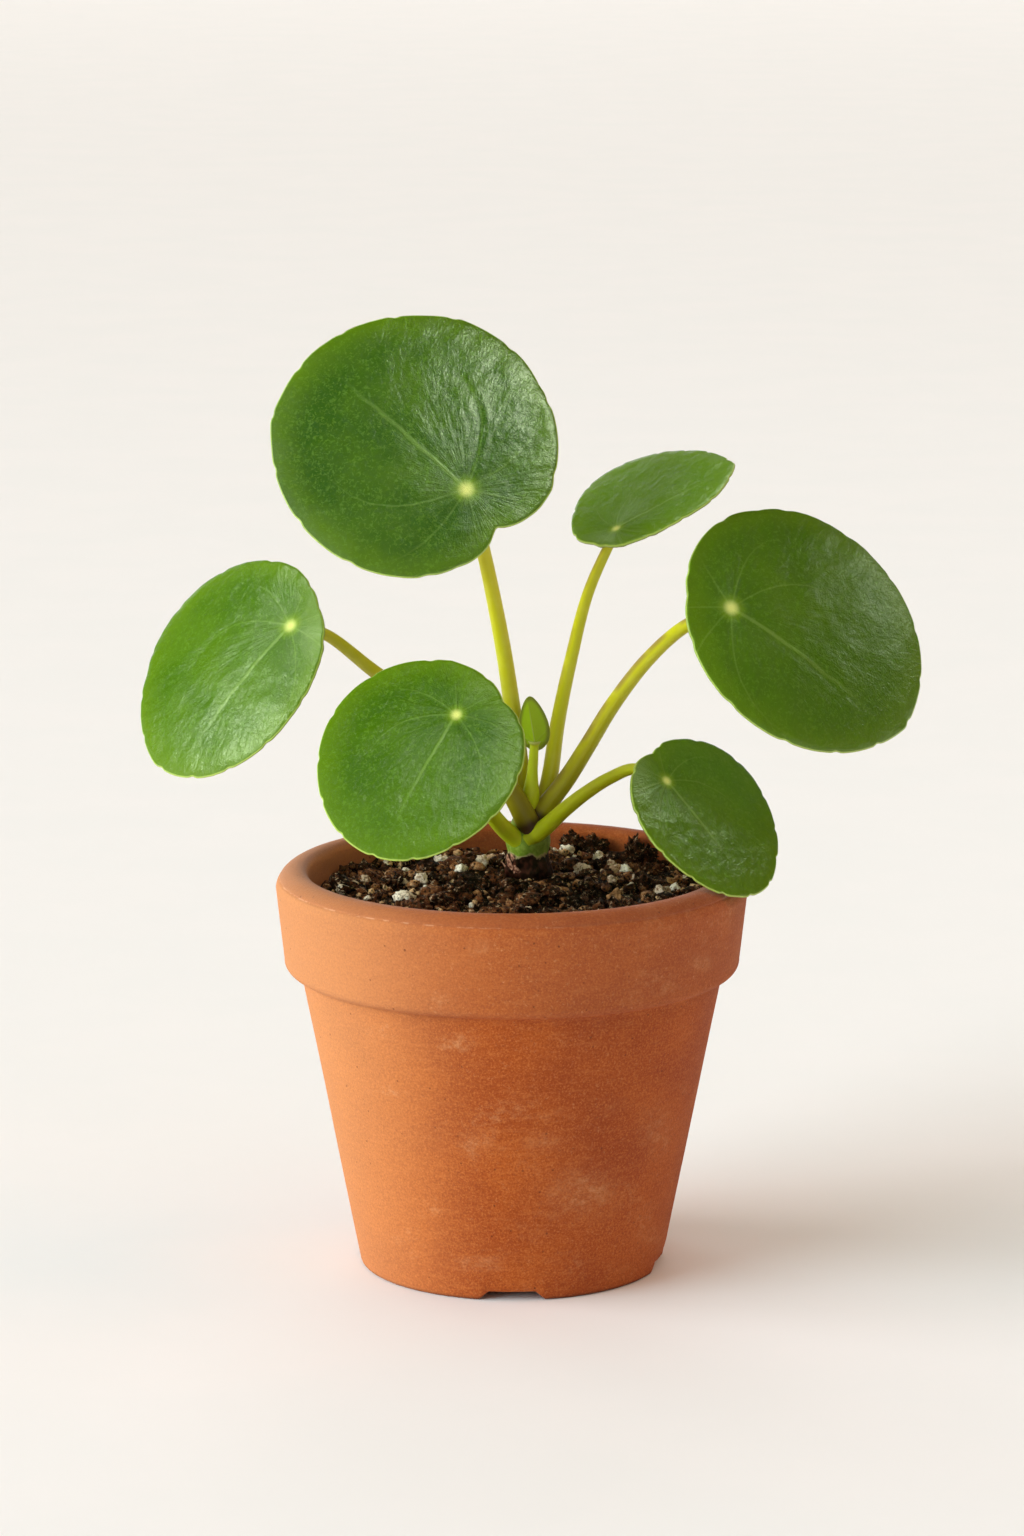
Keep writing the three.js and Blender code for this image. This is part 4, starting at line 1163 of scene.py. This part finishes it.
# %% Skin of the stalks
stalk_skin, tree, shader = new_material("stalk skin")
place = millimetres(tree)
along = add_node(tree, "Attribute", {"attribute_name": "along"}).outputs["Fac"]
sunny = add_node(tree, "Attribute", {"attribute_name": "sunny"}).outputs["Fac"]
ripe = add_node(tree, "Attribute", {"attribute_name": "ripe"}).outputs["Fac"]
colour = blend(tree, ripe, screen(208, 224, 24), screen(206, 196, 14))
mottle = pattern(tree, place, 3.2, detail=4)
colour = blend(tree, times(tree, fade(tree, mottle, 0.4, 0.7), 0.3), colour, screen(222, 214, 70))
blush = times(tree, fade(tree, sunny, 0.5, 0.98), ripe,
              fade(tree, pattern(tree, place, 6, detail=2), 0.25, 0.6))
colour = blend(tree, times(tree, blush, 0.75), colour, screen(138, 92, 66))
oldest = calculate(tree, "POWER", ripe, 8)
dark_base = times(tree, fade(tree, along, 0.36, 0.1), oldest)
colour = blend(tree, times(tree, dark_base, 0.7), colour, screen(112, 92, 22))
colour = blend(tree, times(tree, fade(tree, along, 0.06, 0.03), ripe), colour, screen(74, 48, 22))
colour = blend(tree, fade(tree, along, 0.95, 1.0), colour, screen(204, 208, 110))
tree.links.new(colour, shader.inputs["Base Color"])
shader.inputs["Roughness"].default_value = 0.42
shader.inputs["Subsurface Weight"].default_value = 0.2
shader.inputs["Subsurface Radius"].default_value = (1.0, 0.9, 0.25)
shader.inputs["Subsurface Scale"].default_value = 1.5 * MM
raise_surface(tree, shader, pattern(tree, place, 0.7, detail=3), 0.04)

for leaf in LEAVES:
    make_stalk(f"stalk_{leaf['order']}", leaf, stalk_skin, f"petiole_{leaf['order']}")
make_stalk("stalk_bud", BUD, stalk_skin, "bud_petiole")

# %% [markdown]
# ## The stem and crown
# All stalks spring from a stub a few millimetres across: woody and wrinkled where it leaves
# the soil, green and swollen above, with scars where older leaves have dropped. It is turned
# from a short outline and roughened, and papery brown scales cling to its foot.

# %% Turn the stem
STEM_STEPS = 96
STEM_OUTLINE = ((5.4, 66, 0), (5.4, 90, 0), (5, 92.6, 0), (4.7, 94.4, 0), (5, 95.8, 0),
                (5.3, 97.6, 0), (5.1, 99.6, 0), (4.2, 101.6, 0), (3.1, 103.8, 0), (1.9, 106, 0))
STEM_TOP = 107


def turn_stem():
    smooth = evenly_along(through_points(STEM_OUTLINE), 110)
    outline = [(0, STEM_OUTLINE[0][1])] + [(x, z) for x, z, _ in smooth] + [(0.8, 106.7), (0, STEM_TOP)]
    bm = turn_outline(outline, STEM_STEPS)
    for vert in bm.verts:
        x, y, z = vert.co
        bark = min(1, max(0, (95.5 - z) / 2))
        rough = noise.noise(Vector((x, y, z * 0.5)) / 1.6) * 0.16 * bark
        swell = noise.noise(Vector((x, y, z)) / 3.5) * 0.06
        vert.co.xy *= 1 + rough + swell
    bmesh.ops.translate(bm, vec=(STEM_X, STEM_Y, 0), verts=bm.verts)
    return bm

# %% Bark below, green above
stem_skin, tree, shader = new_material("stem skin")
place = millimetres(tree)
height = add_node(tree, "SeparateXYZ", Vector=place).outputs["Z"]
ragged = calculate(tree, "ADD", height,
                   times(tree, calculate(tree, "SUBTRACT", pattern(tree, place, 2.5), 0.5), 4))
mottle = fade(tree, pattern(tree, place, 1.2, detail=5), 0.4, 0.68)
bark_tone = blend(tree, mottle, screen(22, 8, 4), screen(76, 36, 22))
green_tone = blend(tree, mottle, screen(116, 140, 34), screen(146, 166, 60))
torn = fade(tree, calculate(tree, "ABSOLUTE", calculate(tree, "SUBTRACT", ragged, 95)), 0.5, 0.1)
colour = blend(tree, fade(tree, ragged, 94.8, 95.2), bark_tone, green_tone)
colour = blend(tree, times(tree, torn, 0.6), colour, screen(196, 176, 120))
# Painted shade: the top of the crown, among the stalk bases, darkens to brown.
colour = blend(tree, times(tree, fade(tree, height, 101.5, 103.5), 0.8), colour,
               screen(84, 58, 26))
tree.links.new(colour, shader.inputs["Base Color"])
shader.inputs["Roughness"].default_value = 0.55
raise_surface(tree, shader, pattern(tree, place, 0.9, detail=5), 0.15)
finish_piece("crown_stem", turn_stem(), stem_skin, "stem", "stem")

# %% [markdown]
# The scales are withered stipules: thin, cupped flakes, each a flattened ball that is bent
# round the stem. They stand a little off it and point up and outwards.

# %% Papery scales
SCALES = ((-150, 92.6, 2.4, 12), (-120, 90.8, 2.4, 26), (-172, 91, 2.4, 30),
          (160, 91.8, 2.2, 18), (20, 91, 1.8, 24), (95, 92, 2.2, 16), (-134, 94, 1.5, 20))
SCALE_STAND_OFF = 5.2
SCALE_BEND = 0.16


def add_scale(bm, azimuth, height, length, lean):
    made = bmesh.ops.create_icosphere(bm, subdivisions=3, radius=1)
    for vert in made["verts"]:
        x, y, z = vert.co
        width = 0.62 * (1 - 0.35 * z)
        x, y, z = x * width * length * 0.8, y * 0.14, z * length
        y += SCALE_BEND * x * x + 0.25 * noise.noise(Vector((x, z, azimuth)))
        vert.co = (x, y, z)
    stand = Matrix.Translation((0, -SCALE_STAND_OFF, height))
    tilt = Matrix.Rotation(math.radians(lean), 4, "X")
    swing = Matrix.Rotation(math.radians(azimuth + 90), 4, "Z")
    matrix = Matrix.Translation((STEM_X, STEM_Y, 0)) @ swing @ stand @ tilt
    bmesh.ops.transform(bm, matrix=matrix, verts=made["verts"])


scale_mesh = bmesh.new()
for scale in SCALES:
    add_scale(scale_mesh, *scale)
paper, tree, shader = new_material("papery scale")
place = millimetres(tree)
streak = fade(tree, pattern(tree, place, 0.9, detail=4), 0.38, 0.65)
tree.links.new(blend(tree, streak, screen(84, 40, 26), screen(214, 156, 120)),
               shader.inputs["Base Color"])
shader.inputs["Roughness"].default_value = 0.6
finish_piece("papery_scales", scale_mesh, paper, "stem")

# %% [markdown]
# ## Floor and light
# The setting is a plain sheet of warm white paper that sweeps up behind the pot. It is one
# strip: a short outline of floor, curve and wall, extruded sideways.

# %% Paper sweep
SWEEP_FRONT = -3000
SWEEP_BACK = 6000
SWEEP_ROUND = 1500
SWEEP_TOP = 4000
SWEEP_HALF_WIDTH = 5000

sweep_mesh = bmesh.new()
sweep_line = [(SWEEP_FRONT, 0)] + straight((SWEEP_FRONT, 0), (SWEEP_BACK, 0), 8)
sweep_line += arc((SWEEP_BACK, SWEEP_ROUND), SWEEP_ROUND, -90, 0, 24)
sweep_line += [(SWEEP_BACK + SWEEP_ROUND, SWEEP_TOP)]
points = [sweep_mesh.verts.new((-SWEEP_HALF_WIDTH, y, z - 0.05)) for y, z in sweep_line]
edges = [sweep_mesh.edges.new(pair) for pair in zip(points, points[1:])]
grown = bmesh.ops.extrude_edge_only(sweep_mesh, edges=edges)["geom"]
bmesh.ops.translate(sweep_mesh, vec=(2 * SWEEP_HALF_WIDTH, 0, 0),
                    verts=[item for item in grown if isinstance(item, bmesh.types.BMVert)])
bmesh.ops.transform(sweep_mesh, matrix=TO_FRAME, verts=sweep_mesh.verts)

# %% Warm white paper
paper_sheet, tree, shader = new_material("warm white paper")
place = millimetres(tree)
cloudy = fade(tree, pattern(tree, place, 60, detail=5, roughness=0.6), 0.3, 0.7)
tree.links.new(blend(tree, cloudy, screen(240, 235, 229), screen(242, 236, 230)),
               shader.inputs["Base Color"])
shader.inputs["Roughness"].default_value = 0.9
shader.inputs["Specular IOR Level"].default_value = 0.1
sweep_data = bpy.data.meshes.new("paper_sweep")
sweep_mesh.to_mesh(sweep_data)
sweep_mesh.free()
sweep_data.shade_smooth()
sweep_data.materials.append(paper_sheet)
sweep = bpy.data.objects.new("paper_sweep", sweep_data)
scene.collection.objects.link(sweep)

# %% [markdown]
# The light is soft daylight. A broad window low on the left models the pot and throws a faint
# shadow to the right; pale walls behind send light back, and the rest of the room fills the
# shadows, a little warmer where a wooden ceiling would be. All are far away, so that the paper
# is evenly lit, and are made as suns as wide as the panes would look. None is mirrored.
# A photographer places the sheen on a glossy leaf with a small card of its own. The last lamps
# are such cards: each is seen by the gloss of one blade, and lights nothing else.

# %% Lamps
def wide_sun(name, bearing, height, width, strength, colour):
    """A far lamp; its bearing is counted in degrees from the camera's side towards the right."""
    data = bpy.data.lights.new(name, "SUN")
    data.angle = math.radians(width)
    data.energy = strength
    data.color = colour
    lamp = bpy.data.objects.new(name, data)
    lamp.rotation_euler = (math.radians(90 - height), 0, math.radians(bearing))
    scene.collection.objects.link(lamp)
    return lamp


for lamp in (
    wide_sun("window", -90, 18, 36, 2.3, (0.93, 0.92, 1)),
    wide_sun("window, nearer half", -60, 18, 36, 2.85, (0.7, 0.88, 1)),
    wide_sun("wall behind", 180, 18, 36, 1.84, (0.8, 0.9, 1)),
    wide_sun("wall behind on the left", -150, 18, 36, 0.88, (0.7, 0.9, 1)),
    wide_sun("ceiling", 90, 48, 36, 0.5, (1, 0.36, 0.12)),
):
    lamp.visible_glossy = False

# %% A card for the sheen of each blade
CARD_TINT = (0.84, 1, 0.66)
CARDS = (
    # leaf, bearing, height and width in degrees, strength
    (1, 45, 60, 19, 2), (2, -68, 20, 20, 1.6), (2, -90, 62, 24, 1.5), (3, -16, 52, 18, 0.8),
    (4, 180, 76, 24, 1.2), (5, 112, 27, 15, 0.3), (6, 120, 52, 20, 1.2),
)
for order, bearing, height, width, strength in CARDS:
    card = wide_sun(f"card for blade {order}", bearing, height, width, strength, CARD_TINT)
    card.visible_diffuse = False
    lit = bpy.data.collections.new(f"lit by card {order}")
    lit.objects.link(bpy.data.objects[f"blade_{order}"])
    card.light_linking.receiver_collection = lit

# %% The pale room
world = bpy.data.worlds.new("pale room")
world.use_nodes = True
room = world.node_tree.nodes["Background"]
room.inputs["Strength"].default_value = 0.5
room.inputs["Color"].default_value = (0.94, 1, 0.92, 1)
world.cycles_visibility.glossy = False
scene.world = world
